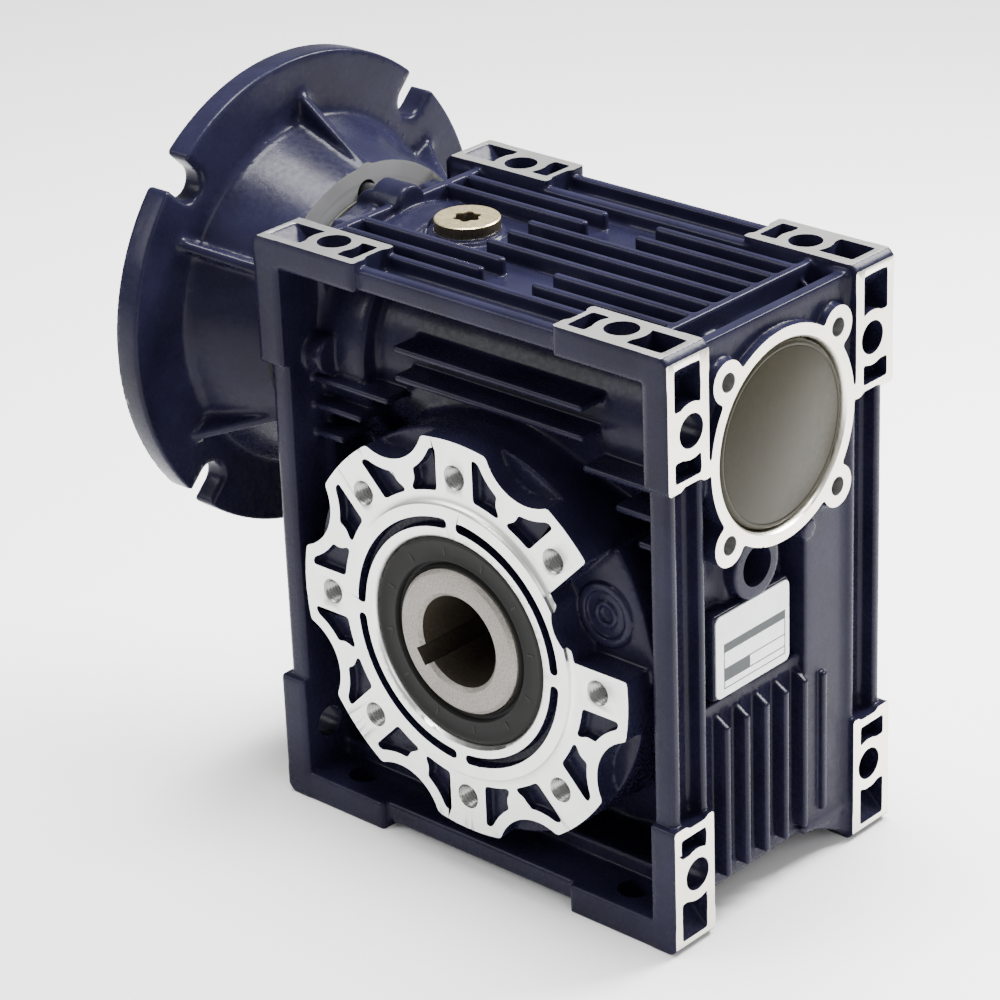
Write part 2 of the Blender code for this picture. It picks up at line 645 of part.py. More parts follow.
def oil_seal(name, axis, outer, inner, near, far, parent):
    """A ring with a rounded shoulder outside and a lip that reaches the shaft; `near` faces the air."""
    d = 1 if far > near else -1
    middle = (outer + inner) / 2
    profile = [(outer, near), (outer, far), (outer - 2.0, far), (middle - 1.0, near + d * 2.6),
               (inner + 1.8, far - d * 1.0), (inner, far - d * 2.2), (inner + 2.2, near)]
    part(name, RUBBER, [turned(profile, axis, 22)], parent=parent)


def seals_and_caps():
    oil_seal("output_seal_front", "y", SEAL_RADIUS, 25.3, -58.8, -50.9, OUTPUT_AXIS)
    oil_seal("output_seal_rear", "y", SEAL_RADIUS, 25.3, 58.8, 50.9, OUTPUT_AXIS)
    oil_seal("input_seal", "x", 25.7, 20.3, -96.6, -89.4, WORM_AXIS)
    part("worm_end_cap", OLIVE_CAP,
         [turned([(0.0, 84.3), (0.0, 85.7), (29.0, 85.7), (31.0, 84.4), (31.0, 80.2), (29.4, 80.2),
                  (29.4, 84.3)], "x", 32)], parent=WORM_AXIS)
    part("worm_bearing_circlip", STEEL,
         [turned([(26.5, 77.8), (31.0, 77.8), (31.0, 79.4), (26.5, 79.4)], "x", 22)],
         [box((77.0, -34.0, -3.5), (80.0, -20.0, 3.5))], WORM_AXIS)
    plug = (FILLER_X, 0.0)
    part("fill_plug", ZINC,
         [turned([(0.0, 101.5), (7.9, 101.5), (7.9, 114.0), (11.0, 114.0), (11.0, 117.0), (10.4, 117.6),
                  (0.0, 117.6)], "z", 20, plug)],
         [rod("z", 4.6, 112.0, 119.0, plug, 6)])
    part("fill_plug_washer", STEEL,
         [turned([(8.3, 113.0), (11.2, 113.0), (11.2, 113.7), (8.3, 113.7)], "z", 18, plug)])
    part("nameplate", PLATE, [box((81.5, -28.7, -6.9), (82.1, 7.8, 21.3))])


# ---------------------------------------------------------------- bearings

def ball_bearing(name, start, end):
    """A deep groove ball bearing: outer ring, inner ring, and the balls with their cage as one body."""
    middle, ball, pitch = (start + end) / 2, 4.0, 32.65
    groove = math.sqrt((ball + 0.9) ** 2 - 2.9 ** 2)

    def ring(wall, land):
        d = 1 if wall > land else -1
        bottom = pitch + d * (ball + 0.9)
        return [(wall, start), (land, start), (land, middle - groove), (bottom, middle),
                (land, middle + groove), (land, end), (wall, end)]

    part(f"{name}_outer_ring", STEEL, [turned(ring(BALL_RACE_OUTER, pitch + 2.9), "y", 26)])
    part(f"{name}_inner_ring", STEEL, [turned(ring(25.3, pitch - 2.9), "y", 24)])
    joined = [turned([(pitch - 1.3, middle - 2.4), (pitch + 1.3, middle - 2.4),
                      (pitch + 1.3, middle + 2.4), (pitch - 1.3, middle + 2.4)], "y", 20)]
    for k in range(10):
        x, z = polar(pitch, 36 * k)
        bm = bmesh.new()
        bmesh.ops.create_uvsphere(bm, u_segments=6, v_segments=4, radius=ball)
        turn = Matrix.Rotation(math.radians(-36 * k), 4, "Y")
        joined.append(finish_mesh(bm, Matrix.Translation((x, middle, z)) @ turn))
    part(f"{name}_balls_and_cage", STEEL, joined)


def roller_bearing(name, bore, outside, small, large, rollers):
    """A taper roller bearing whose wide end is at `large`: cup, cone, and rollers with their cage."""
    d = 1 if large > small else -1
    pitch = (bore + outside) / 2
    slope = math.radians(13.0)
    width = abs(large - small)
    thick = (outside - bore) * 0.21

    def line(offset, along):
        """Radius of the roller axis, moved by `offset`, at a distance from the middle."""
        return pitch + offset + along * math.tan(slope)

    half = width / 2
    middle = (small + large) / 2
    cup = [(outside, middle - d * half), (outside, middle + d * half),
           (line(thick + 0.45, half), middle + d * half), (line(thick + 0.45, -half), middle - d * half)]
    cone = [(bore + GAP, middle - d * half), (line(-thick - 0.45, -half), middle - d * half),
            (line(-thick - 0.45, half), middle + d * half), (bore + GAP, middle + d * half)]
    part(f"{name}_cup", STEEL, [turned(cup, "x", 24)], parent=WORM_AXIS)
    part(f"{name}_cone", STEEL, [turned(cone, "x", 24)], parent=WORM_AXIS)
    long = half * 0.78
    joined = [turned([(line(-0.9, -long), middle - d * long), (line(-0.9, long), middle + d * long),
                      (line(0.9, long), middle + d * long), (line(0.9, -long), middle - d * long)],
                     "x", rollers * 2)]
    for k in range(rollers):
        bm = bmesh.new()
        small_end, big_end = thick * 0.93, thick * 1.0
        near, far = (small_end, big_end) if d > 0 else (big_end, small_end)
        bmesh.ops.create_cone(bm, cap_ends=True, segments=6, radius1=near, radius2=far,
                              depth=2 * long * 0.86)
        lean = Matrix.Translation((middle, 0, pitch)) @ Matrix.Rotation(-d * slope, 4, "Y") @ TO_X
        joined.append(finish_mesh(bm, Matrix.Rotation(2 * math.pi * k / rollers, 4, "X") @ lean))
    part(f"{name}_rollers_and_cage", STEEL, joined, parent=WORM_AXIS)


# ---------------------------------------------------------------- output hub, wheel and worm

KEYWAY_ANGLE = 211.8
BORE = 15.875
KEY_WIDTH = 6.35
KEY_DEPTH = 18.9


def output_hub():
    """The hollow output shaft: bearing seats, shoulders, the boss that carries the bronze rim."""
    seat, shoulder, boss, chamfer = 25.0, 33.7, 13.4, 1.3
    profile = [(BORE, -HUB_END + chamfer), (BORE + 1.3, -HUB_END), (seat - chamfer, -HUB_END),
               (seat, -HUB_END + chamfer), (seat, -shoulder), (28.6, -shoulder), (28.6, -boss),
               (47.7, -boss + 3.0), (47.7, boss - 3.0), (28.6, boss), (28.6, shoulder),
               (seat, shoulder), (seat, HUB_END - chamfer), (seat - chamfer, HUB_END),
               (BORE + 1.3, HUB_END), (BORE, HUB_END - chamfer)]
    key = box((BORE - 4.0, -HUB_END - 2, -KEY_WIDTH / 2), (KEY_DEPTH, HUB_END + 2, KEY_WIDTH / 2))
    key.transform(Matrix.Rotation(math.radians(-KEYWAY_ANGLE), 4, "Y"))
    part("output_hub", CAST_HUB, [turned(profile, "y", 26)], [key])


def wheel_tooth():
    """One tooth of the wheel as (angle, radius) pairs, from the root on one side to the other."""
    pitch = MODULE * WHEEL_TEETH / 2
    base = pitch * math.cos(PRESSURE)
    half_at_pitch = (LEAD / 2 - THINNING) / 2 / pitch

    def half_angle(radius):
        def involute(a):
            return math.tan(a) - a
        return half_at_pitch + involute(PRESSURE) - involute(math.acos(min(1.0, base / radius)))

    radii = (pitch - 1.25 * MODULE, pitch + 0.95 * MODULE)
    flank = [(half_angle(r), r) for r in radii]
    return [(-a, r) for a, r in flank] + [(a, r) for a, r in reversed(flank)]


def worm_wheel_rim():
    """A bronze rim with helical teeth that follow the worm's thread; a tooth space is at the top."""
    half = WHEEL_WIDTH / 2
    twist = LEAD / (2 * math.pi * WORM_PITCH_RADIUS) / (MODULE * WHEEL_TEETH / 2)
    bore = 48.1
    bm = bmesh.new()
    rings = []
    for y in (-half, half):
        ring = []
        for k in range(WHEEL_TEETH):
            centre = math.pi / 2 - 2 * math.pi * (k + 0.5) / WHEEL_TEETH - y * twist
            for angle, radius in wheel_tooth():
                here = centre - angle
                ring.append(bm.verts.new((radius * math.cos(here), y, radius * math.sin(here))))
        rings.append(ring)
    count = len(rings[0])
    for i in range(count):
        j = (i + 1) % count
        bm.faces.new((rings[0][i], rings[0][j], rings[1][j], rings[1][i]))
    bm.faces.new(rings[0])
    bm.faces.new(list(reversed(rings[1])))
    bmesh.ops.recalc_face_normals(bm, faces=bm.faces)
    bore_cut = rod("y", bore, -half - 2, half + 2, sides=36)
    part("worm_wheel_rim", BRONZE, [finish_mesh(bm, Matrix.Identity(4))], [bore_cut])


def thread_profile():
    """Axial section of the thread as (place along the axis, radius), root to root."""
    half = (LEAD / 2 - THINNING) / 2
    root, tip = WORM_ROOT, WORM_PITCH_RADIUS + 0.95 * MODULE
    rise = math.tan(PRESSURE)
    wide = half + (WORM_PITCH_RADIUS - root) * rise
    narrow = half - (tip - WORM_PITCH_RADIUS) * rise
    return [(-wide, root), (-narrow, tip), (narrow, tip), (wide, root)]


def worm_thread():
    """A right-hand thread, one start, with its root, as one closed body."""
    steps = 12
    count = int(WORM_LENGTH / LEAD) * steps
    bm = bmesh.new()
    rows = []
    for i in range(count + 1):
        phi = 2 * math.pi * i / steps
        along = LEAD * (i - count / 2) / steps
        rows.append([bm.verts.new((along + offset, radius * math.cos(phi), radius * math.sin(phi)))
                     for offset, radius in thread_profile()])
    for a, b in zip(rows, rows[1:]):
        for i in range(3):
            bm.faces.new((a[i], a[i + 1], b[i + 1], b[i]))
    for a, b, c, d in zip(rows, rows[1:], rows[steps + 1:], rows[steps:]):
        bm.faces.new((a[3], d[0], c[0], b[3]))
    first = [row[0] for row in rows[:steps + 1]] + rows[0][:0:-1]
    last = [row[3] for row in rows[count - steps:]] + rows[-1][:0:-1][1:] + [rows[-1][0]]
    for loop, x in ((first, rows[0][0].co.x), (last, rows[-1][3].co.x)):
        centre = bm.verts.new((x, 0.0, 0.0))
        for a, b in zip(loop, loop[1:] + loop[:1]):
            bm.faces.new((a, b, centre))
    bmesh.ops.recalc_face_normals(bm, faces=bm.faces)
    # the thread's crest has to cross the lowest line of the worm at x = 0
    return finish_mesh(bm, Matrix.Rotation(-math.pi / 2 - math.pi * count / steps, 4, "X"))


def worm_shaft():
    core, end = WORM_ROOT - 0.6, WORM_LENGTH / 2 - 2.0
    profile = [(7.94, -113.0), (18.8, -113.0), (20.0, -111.8), (20.0, -64.9), (24.0, -64.9),
               (24.0, -58.0), (core, -end - 8), (core, end + 8), (19.0, 54.0), (19.0, 60.7),
               (15.0, 60.7), (15.0, 76.5), (13.8, 77.4), (0.0, 77.4), (0.0, -55.0), (7.94, -55.0)]
    key = box((-114.0, -2.4, 0.0), (-72.0, 2.4, 10.3))
    part("worm_shaft", STEEL, [turned(profile, "x", 24), worm_thread()], [key], WORM_AXIS)


housing()
output_cover()
cover_screws()
input_flange()
seals_and_caps()
ball_bearing("front_bearing", -50.0, -34.0)
ball_bearing("rear_bearing", 34.0, 50.0)
roller_bearing("motor_side_bearing", 20.0, 34.0, -84.2, -65.2, 12)
roller_bearing("cap_side_bearing", 15.0, 31.0, 77.3, 61.0, 11)
output_hub()
worm_wheel_rim()
worm_shaft()
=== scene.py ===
import json
import math

import bmesh
import bpy
import numpy as np
import openvdb
from mathutils import Euler, Matrix, Vector

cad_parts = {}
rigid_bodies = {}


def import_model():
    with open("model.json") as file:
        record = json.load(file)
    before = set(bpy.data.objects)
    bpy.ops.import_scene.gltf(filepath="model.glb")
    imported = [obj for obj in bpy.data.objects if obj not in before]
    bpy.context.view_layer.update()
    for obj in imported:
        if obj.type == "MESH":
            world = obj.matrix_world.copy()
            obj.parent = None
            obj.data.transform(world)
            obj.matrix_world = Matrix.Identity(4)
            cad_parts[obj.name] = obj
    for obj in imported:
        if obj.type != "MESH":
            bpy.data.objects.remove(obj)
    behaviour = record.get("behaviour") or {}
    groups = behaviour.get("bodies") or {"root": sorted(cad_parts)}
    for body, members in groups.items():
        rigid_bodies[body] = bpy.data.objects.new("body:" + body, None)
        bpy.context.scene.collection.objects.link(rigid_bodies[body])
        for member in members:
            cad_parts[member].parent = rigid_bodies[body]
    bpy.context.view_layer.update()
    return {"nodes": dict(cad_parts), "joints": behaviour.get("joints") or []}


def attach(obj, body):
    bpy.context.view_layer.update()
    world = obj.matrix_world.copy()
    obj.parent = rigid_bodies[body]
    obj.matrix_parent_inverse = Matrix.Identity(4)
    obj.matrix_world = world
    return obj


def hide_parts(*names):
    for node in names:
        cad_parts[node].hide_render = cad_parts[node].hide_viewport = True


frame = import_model()

# The drawing below is in millimetres from the output axis, which the record places in the frame.
MM = 0.001
JOINTS = {joint["name"]: Vector(joint["pos_m"]) for joint in frame["joints"]}
OUTPUT = Vector((JOINTS["output_spin"].x, 0.0, JOINTS["output_spin"].z))
TO_FRAME = Matrix.Translation(OUTPUT) @ Matrix.Scale(MM, 4)
WORM_Z = (JOINTS["worm_spin"].z - OUTPUT.z) / MM

HALF_LENGTH = 86.3
HALF_WIDTH = 56.0
TOP = 119.2
BOTTOM = -86.0
STEP = 2.2
BAR_X = HALF_LENGTH - STEP
BAR_Y = HALF_WIDTH - STEP
BAR_TOP = TOP - STEP
BAR_BOTTOM = BOTTOM + STEP
OPENING_X = 76.0
OPENING_TOP = 109.0
OPENING_BOTTOM = -76.0
PAD_LENGTH = 44.9
PAD_INNER = 36.5
PAD_HOLE = 5.6
HOLE_Y = 45.0
HOLE_X = 60.0
SIDE_HOLES = (-60.4, 92.8)
STOCK = 1.0                    # cast material that machining takes off a pad or face

FACE_Y = 57.6
RING_Y = 60.0
SPIGOT = 47.5
FACE_RADIUS = 70.0
BOLT_RADIUS = 57.45
SCALLOP_CENTRE = 80.0
SCALLOP_RADIUS = 17.65
SCALLOP_FLOOR = 50.0
DRUM_RADIUS = 77.5
CHAMBER_RADIUS = 66.5
COVER_SEAT = 43.5
COVER_PLATE = 49.9
COVER_SCREWS = 72.4
SEAL_RADIUS = 36.3
SEAL_SHOULDER = 50.3
BALL_BORE = 40.3
PLUG_ANGLE = 22.5

TUBE_RADIUS = 34.0
COLLAR_RADIUS = 40.0
COLLAR_END = -87.4
COLLAR_START = -55.2
RING_BOSS = (-8.2, 32.3)
CAP_RING = 35.8
EAR_OFFSET = 27.2
EAR_RADIUS = 7.1
FILLER_X = -43.6

FLANGE_FACE = -126.3
FLANGE_BACK = -117.0
FLANGE_NECK = -88.8
FLANGE_RADIUS = 82.55
FLANGE_BOLTS = 74.6
FLANGE_SCREWS = 41.0

VOXEL = 0.42                   # grid step of the castings
ADAPTIVITY = 0.08              # how far the flat stretches of a casting are simplified


# ---------------------------------------------------------------- materials

def new_material(name):
    made = bpy.data.materials.new(name)
    made.use_nodes = True
    return made, made.node_tree.nodes, made.node_tree.links, made.node_tree.nodes["Principled BSDF"]


def noise(nodes, links, where, scale, detail=2.0, roughness=0.5):
    node = nodes.new("ShaderNodeTexNoise")
    node.inputs["Scale"].default_value = scale
    node.inputs["Detail"].default_value = detail
    node.inputs["Roughness"].default_value = roughness
    links.new(where, node.inputs["Vector"])
    return node.outputs["Fac"]


def ramp(nodes, links, value, stops):
    node = nodes.new("ShaderNodeValToRGB")
    while len(node.color_ramp.elements) < len(stops):
        node.color_ramp.elements.new(0.5)
    for element, (place, colour) in zip(node.color_ramp.elements, stops):
        element.position = place
        element.color = (*colour, 1.0) if len(colour) == 3 else colour
    links.new(value, node.inputs["Fac"])
    return node.outputs["Color"]


def grey(value):
    return (value, value, value)


def bump(nodes, links, height, strength, distance, normal=None):
    node = nodes.new("ShaderNodeBump")
    node.inputs["Strength"].default_value = strength
    node.inputs["Distance"].default_value = distance
    links.new(height, node.inputs["Height"])
    if normal is not None:
        links.new(normal, node.inputs["Normal"])
    return node.outputs["Normal"]


def multiply(nodes, links, first, second):
    node = nodes.new("ShaderNodeMix")
    node.data_type = "RGBA"
    node.blend_type = "MULTIPLY"
    node.inputs["Factor"].default_value = 1.0
    links.new(first, node.inputs["A"])
    links.new(second, node.inputs["B"])
    return node.outputs["Result"]


def position(nodes):
    return nodes.new("ShaderNodeTexCoord").outputs["Object"]


def centred(nodes, links, where, centre, stretch=(1.0, 1.0, 1.0)):
    """Coordinates measured from a point, so that rings can run round an axis."""
    node = nodes.new("ShaderNodeMapping")
    node.inputs["Location"].default_value = [-c * s for c, s in zip(centre, stretch)]
    node.inputs["Scale"].default_value = stretch
    links.new(where, node.inputs["Vector"])
    return node.outputs["Vector"]


def paint_material(name, colour, roughness=0.3):
    """Sprayed enamel on a casting: fine orange peel, slow changes of gloss, and a little dust."""
    made, nodes, links, shader = new_material(name)
    where = position(nodes)
    peel = noise(nodes, links, where, 520.0, 3.0, 0.55)
    cast = noise(nodes, links, where, 130.0, 3.0, 0.6)
    cloud = noise(nodes, links, where, 28.0, 3.0, 0.6)
    lighter = tuple(min(1.0, c * 1.35 + 0.002) for c in colour)
    darker = tuple(c * 0.75 for c in colour)
    links.new(ramp(nodes, links, cloud, [(0.32, darker), (0.70, lighter)]), shader.inputs["Base Color"])
    gloss = ramp(nodes, links, peel, [(0.25, grey(roughness - 0.05)), (0.8, grey(roughness + 0.13))])
    links.new(gloss, shader.inputs["Roughness"])
    first = bump(nodes, links, cast, 0.07, 0.0008)
    links.new(bump(nodes, links, peel, 0.09, 0.0003, first), shader.inputs["Normal"])
    shader.inputs["Specular IOR Level"].default_value = 0.09
    shader.inputs["Coat Weight"].default_value = 0.03
    shader.inputs["Coat Roughness"].default_value = 0.12
    return made


def turned_material(name, colour, axis, centre, pitch=0.00045, roughness=0.3, metallic=1.0, contrast=0.12):
    """Metal faced on a lathe: fine rings round an axis, with slight stains."""
    made, nodes, links, shader = new_material(name)
    flat = {"x": (0.0, 1.0, 1.0), "y": (1.0, 0.0, 1.0), "z": (1.0, 1.0, 0.0)}[axis]
    where = position(nodes)
    around = centred(nodes, links, where, centre, flat)
    length = nodes.new("ShaderNodeVectorMath")
    length.operation = "LENGTH"
    links.new(around, length.inputs[0])
    wobble = noise(nodes, links, length.outputs["Value"], 1.0 / pitch, 2.0, 0.7)
    stain = noise(nodes, links, where, 60.0, 4.0, 0.65)
    dark = tuple(c * (1.0 - contrast) for c in colour)
    rings = ramp(nodes, links, wobble, [(0.25, dark), (0.7, colour)])
    stains = ramp(nodes, links, stain, [(0.3, grey(0.90)), (0.62, grey(1.0))])
    links.new(multiply(nodes, links, rings, stains), shader.inputs["Base Color"])
    rough = ramp(nodes, links, wobble, [(0.2, grey(roughness - 0.06)), (0.8, grey(roughness + 0.10))])
    links.new(rough, shader.inputs["Roughness"])
    links.new(bump(nodes, links, wobble, 0.25, 0.00012), shader.inputs["Normal"])
    shader.inputs["Metallic"].default_value = metallic
    return made


def milled_material(name, colour, roughness=0.32, metallic=1.0):
    """Metal faced by a milling cutter: broad overlapping arcs."""
    made, nodes, links, shader = new_material(name)
    where = position(nodes)
    wave = nodes.new("ShaderNodeTexWave")
    wave.wave_type = "RINGS"
    wave.rings_direction = "SPHERICAL"
    wave.inputs["Scale"].default_value = 260.0
    wave.inputs["Distortion"].default_value = 1.6
    wave.inputs["Detail"].default_value = 2.0
    links.new(centred(nodes, links, where, (0.5, -0.3, 0.45)), wave.inputs["Vector"])
    marks = wave.outputs["Fac"]
    stain = noise(nodes, links, where, 75.0, 4.0, 0.6)
    links.new(ramp(nodes, links, stain, [(0.3, tuple(c * 0.86 for c in colour)), (0.65, colour)]),
              shader.inputs["Base Color"])
    rough = ramp(nodes, links, marks, [(0.0, grey(roughness - 0.04)), (1.0, grey(roughness + 0.07))])
    links.new(rough, shader.inputs["Roughness"])
    links.new(bump(nodes, links, marks, 0.10, 0.0001), shader.inputs["Normal"])
    shader.inputs["Metallic"].default_value = metallic
    return made


def speckled_material(name, colour, spread, roughness, metallic, grain=900.0, depth=0.25):
    """A plain substance with fine grain: cast or sintered metal, rubber, zinc plate or fibre."""
    made, nodes, links, shader = new_material(name)
    where = position(nodes)
    fine = noise(nodes, links, where, grain, 3.0, 0.7)
    slow = noise(nodes, links, where, 90.0, 3.0, 0.6)
    low = tuple(max(0.0, c * (1.0 - spread)) for c in colour)
    high = tuple(min(1.0, c * (1.0 + spread)) for c in colour)
    grains = ramp(nodes, links, fine, [(0.3, low), (0.7, high)])
    clouds = ramp(nodes, links, slow, [(0.3, grey(0.88)), (0.7, grey(1.0))])
    links.new(multiply(nodes, links, grains, clouds), shader.inputs["Base Color"])
    rough = ramp(nodes, links, fine, [(0.25, grey(roughness - 0.06)), (0.75, grey(roughness + 0.08))])
    links.new(rough, shader.inputs["Roughness"])
    links.new(bump(nodes, links, fine, depth, 0.00015), shader.inputs["Normal"])
    shader.inputs["Metallic"].default_value = metallic
    shader.inputs["Specular IOR Level"].default_value = 0.15
    return made


def in_frame(x, y, z):
    return tuple(TO_FRAME @ Vector((x, y, z)))


NAVY = paint_material("navy_enamel", (0.0078, 0.0075, 0.0205), 0.24)
FACED = turned_material("faced_aluminium", (0.86, 0.86, 0.84), "y", in_frame(0, 0, 0))
MILLED = milled_material("milled_aluminium", (0.86, 0.85, 0.83))
# A warmer, brighter copy of the milled aluminium for the faces turned to the ends: painted warm light.
MILLED_PAINTED_WARM_LIGHT = milled_material("milled_aluminium_painted_warm_light", (0.92, 0.88, 0.77))
BORED = turned_material("bored_aluminium", (0.60, 0.60, 0.59), "y", in_frame(0, 0, 0), 0.0004, 0.38)
SEAT = turned_material("faced_seat", (0.42, 0.42, 0.42), "x", in_frame(0, 0, WORM_Z), 0.0006, 0.5, 0.9)
# Cut threads darkened well below bare aluminium: painted shade inside the tapped holes.
THREAD_PAINTED_SHADE = speckled_material("cut_thread_painted_shade", (0.30, 0.30, 0.29), 0.15, 0.26, 1.0)
HUB = speckled_material("sintered_iron", (0.25, 0.23, 0.21), 0.35, 0.44, 0.55, 1400.0, 0.45)
RUBBER = speckled_material("nitrile_rubber", (0.012, 0.0117, 0.0114), 0.2, 0.62, 0.0)
LIP = speckled_material("dark_rubber_lip", (0.022, 0.022, 0.023), 0.2, 0.55, 0.0)
OLIVE = speckled_material("olive_coating", (0.030, 0.026, 0.016), 0.12, 0.42, 0.0, 500.0, 0.10)
ZINC = speckled_material("yellow_zinc", (0.78, 0.66, 0.38), 0.10, 0.30, 0.9, 700.0, 0.15)
BLACK = speckled_material("black_oxide", (0.020, 0.020, 0.022), 0.3, 0.42, 0.6)
STEEL = speckled_material("bearing_steel", (0.56, 0.56, 0.57), 0.05, 0.22, 1.0, 600.0, 0.08)
BRONZE = speckled_material("hobbed_bronze", (0.72, 0.44, 0.17), 0.10, 0.30, 1.0, 500.0, 0.15)
FIBRE = speckled_material("gasket_fibre", (0.085, 0.085, 0.070), 0.35, 0.85, 0.0)
SILVER = speckled_material("plate_silver", (0.74, 0.75, 0.75), 0.03, 0.30, 0.35, 300.0, 0.05)
PRINT = speckled_material("plate_print", (0.055, 0.060, 0.065), 0.1, 0.42, 0.0)
FLANGE_FACED = turned_material("faced_flange", (0.78, 0.78, 0.77), "x", in_frame(0, 0, WORM_Z), 0.0005, 0.34)
# A dark copy of the yellow zinc for the fill plug's side and socket: painted shade.
ZINC_PAINTED_SHADE = speckled_material("plug_side_painted_shade", (0.060, 0.050, 0.036), 0.25, 0.38, 0.5)
# Dark brown for the hub's bore and keyway: painted shade inside the hollow shaft.
BORE_PAINTED_SHADE = speckled_material("bore_painted_shade", (0.050, 0.040, 0.030), 0.30, 0.50, 0.35)


# ---------------------------------------------------------------- castings as distance fields

class Shape:
    """A solid given by its signed distance, with the box that holds it."""

    def __init__(self, distance, low, high):
        self.distance = distance
        self.low = np.array(low, float)
        self.high = np.array(high, float)


def rounded(a, b, radius):
    """Distance of two crossed limits, with the corner between them rounded off."""
    outside = np.sqrt(np.maximum(a, 0.0) ** 2 + np.maximum(b, 0.0) ** 2)
    return outside + np.minimum(np.maximum(a, b), 0.0) - radius


def within(value, start, end):
    """Distance outside the span between two places, negative inside it."""
    return np.abs(value - (start + end) / 2) - abs(end - start) / 2


def block(low, high, radius=1.0):
    low, high = np.minimum(low, high), np.maximum(low, high)
    centre = (low + high) / 2
    half = (high - low) / 2
    radius = min(radius, *half)

    def distance(x, y, z):
        qx = np.abs(x - centre[0]) - half[0] + radius
        qy = np.abs(y - centre[1]) - half[1] + radius
        qz = np.abs(z - centre[2]) - half[2] + radius
        outside = np.sqrt(np.maximum(qx, 0) ** 2 + np.maximum(qy, 0) ** 2 + np.maximum(qz, 0) ** 2)
        return outside + np.minimum(np.maximum(np.maximum(qx, qy), qz), 0) - radius

    return Shape(distance, low, high)


def split(axis, x, y, z):
    """Coordinates as (along the axis, first across, second across)."""
    return {"x": (x, y, z), "y": (y, x, z), "z": (z, x, y)}[axis]


def bar(axis, radius, start, end, across=(0.0, 0.0), rounding=1.0, end_radius=None):
    """A round bar, or a cone when it has an end radius."""
    start, end, flip = min(start, end), max(start, end), end < start
    far = radius if end_radius is None else end_radius
    near, far = (far, radius) if flip else (radius, far)
    slope = (far - near) / (end - start)
    lean = 1.0 / math.sqrt(1.0 + slope * slope)

    def distance(x, y, z):
        along, u, v = split(axis, x, y, z)
        wall = np.sqrt((u - across[0]) ** 2 + (v - across[1]) ** 2) - near - slope * (along - start)
        cap = within(along, start, end)
        return rounded(wall * lean + rounding, cap + rounding, rounding)

    widest = max(near, far)
    sides = [(c - widest, c + widest) for c in across]
    spans = {"x": [(start, end), *sides], "y": [sides[0], (start, end), sides[1]],
             "z": [*sides, (start, end)]}
    return Shape(distance, *zip(*spans[axis]))


def sheet_of(axis, outline, start, end, rounding=0.6):
    """An outline given a thickness; it is drawn in (x, z) for the Y axis and in (y, z) for X."""
    start, end = min(start, end), max(start, end)
    corners = np.array(outline, float)

    def flat(u, v):
        best = np.full(np.broadcast(u, v).shape, 1e6, np.float32)
        inside = np.zeros(best.shape, bool)
        for (ax, ay), (bx, by) in zip(corners, np.roll(corners, -1, 0)):
            ex, ey = bx - ax, by - ay
            t = np.clip(((u - ax) * ex + (v - ay) * ey) / (ex * ex + ey * ey), 0, 1)
            best = np.minimum(best, (u - ax - t * ex) ** 2 + (v - ay - t * ey) ** 2)
            if ay != by:
                inside ^= ((ay > v) != (by > v)) & (u < ex * (v - ay) / ey + ax)
        return np.where(inside, -np.sqrt(best), np.sqrt(best))

    def distance(x, y, z):
        along, u, v = split(axis, x, y, z)
        cap = within(along, start, end)
        return rounded(flat(u, v) + rounding, cap + rounding, rounding)

    (u0, v0), (u1, v1) = corners.min(0), corners.max(0)
    spans = {"x": [(start, end), (u0, u1), (v0, v1)], "y": [(u0, u1), (start, end), (v0, v1)],
             "z": [(u0, u1), (v0, v1), (start, end)]}
    return Shape(distance, *zip(*spans[axis]))


def outside_of(shape, other):
    """A shape with another taken away from it, for a cut that must leave something standing."""
    def distance(x, y, z):
        return np.maximum(shape.distance(x, y, z), -other.distance(x, y, z))
    return Shape(distance, shape.low, shape.high)


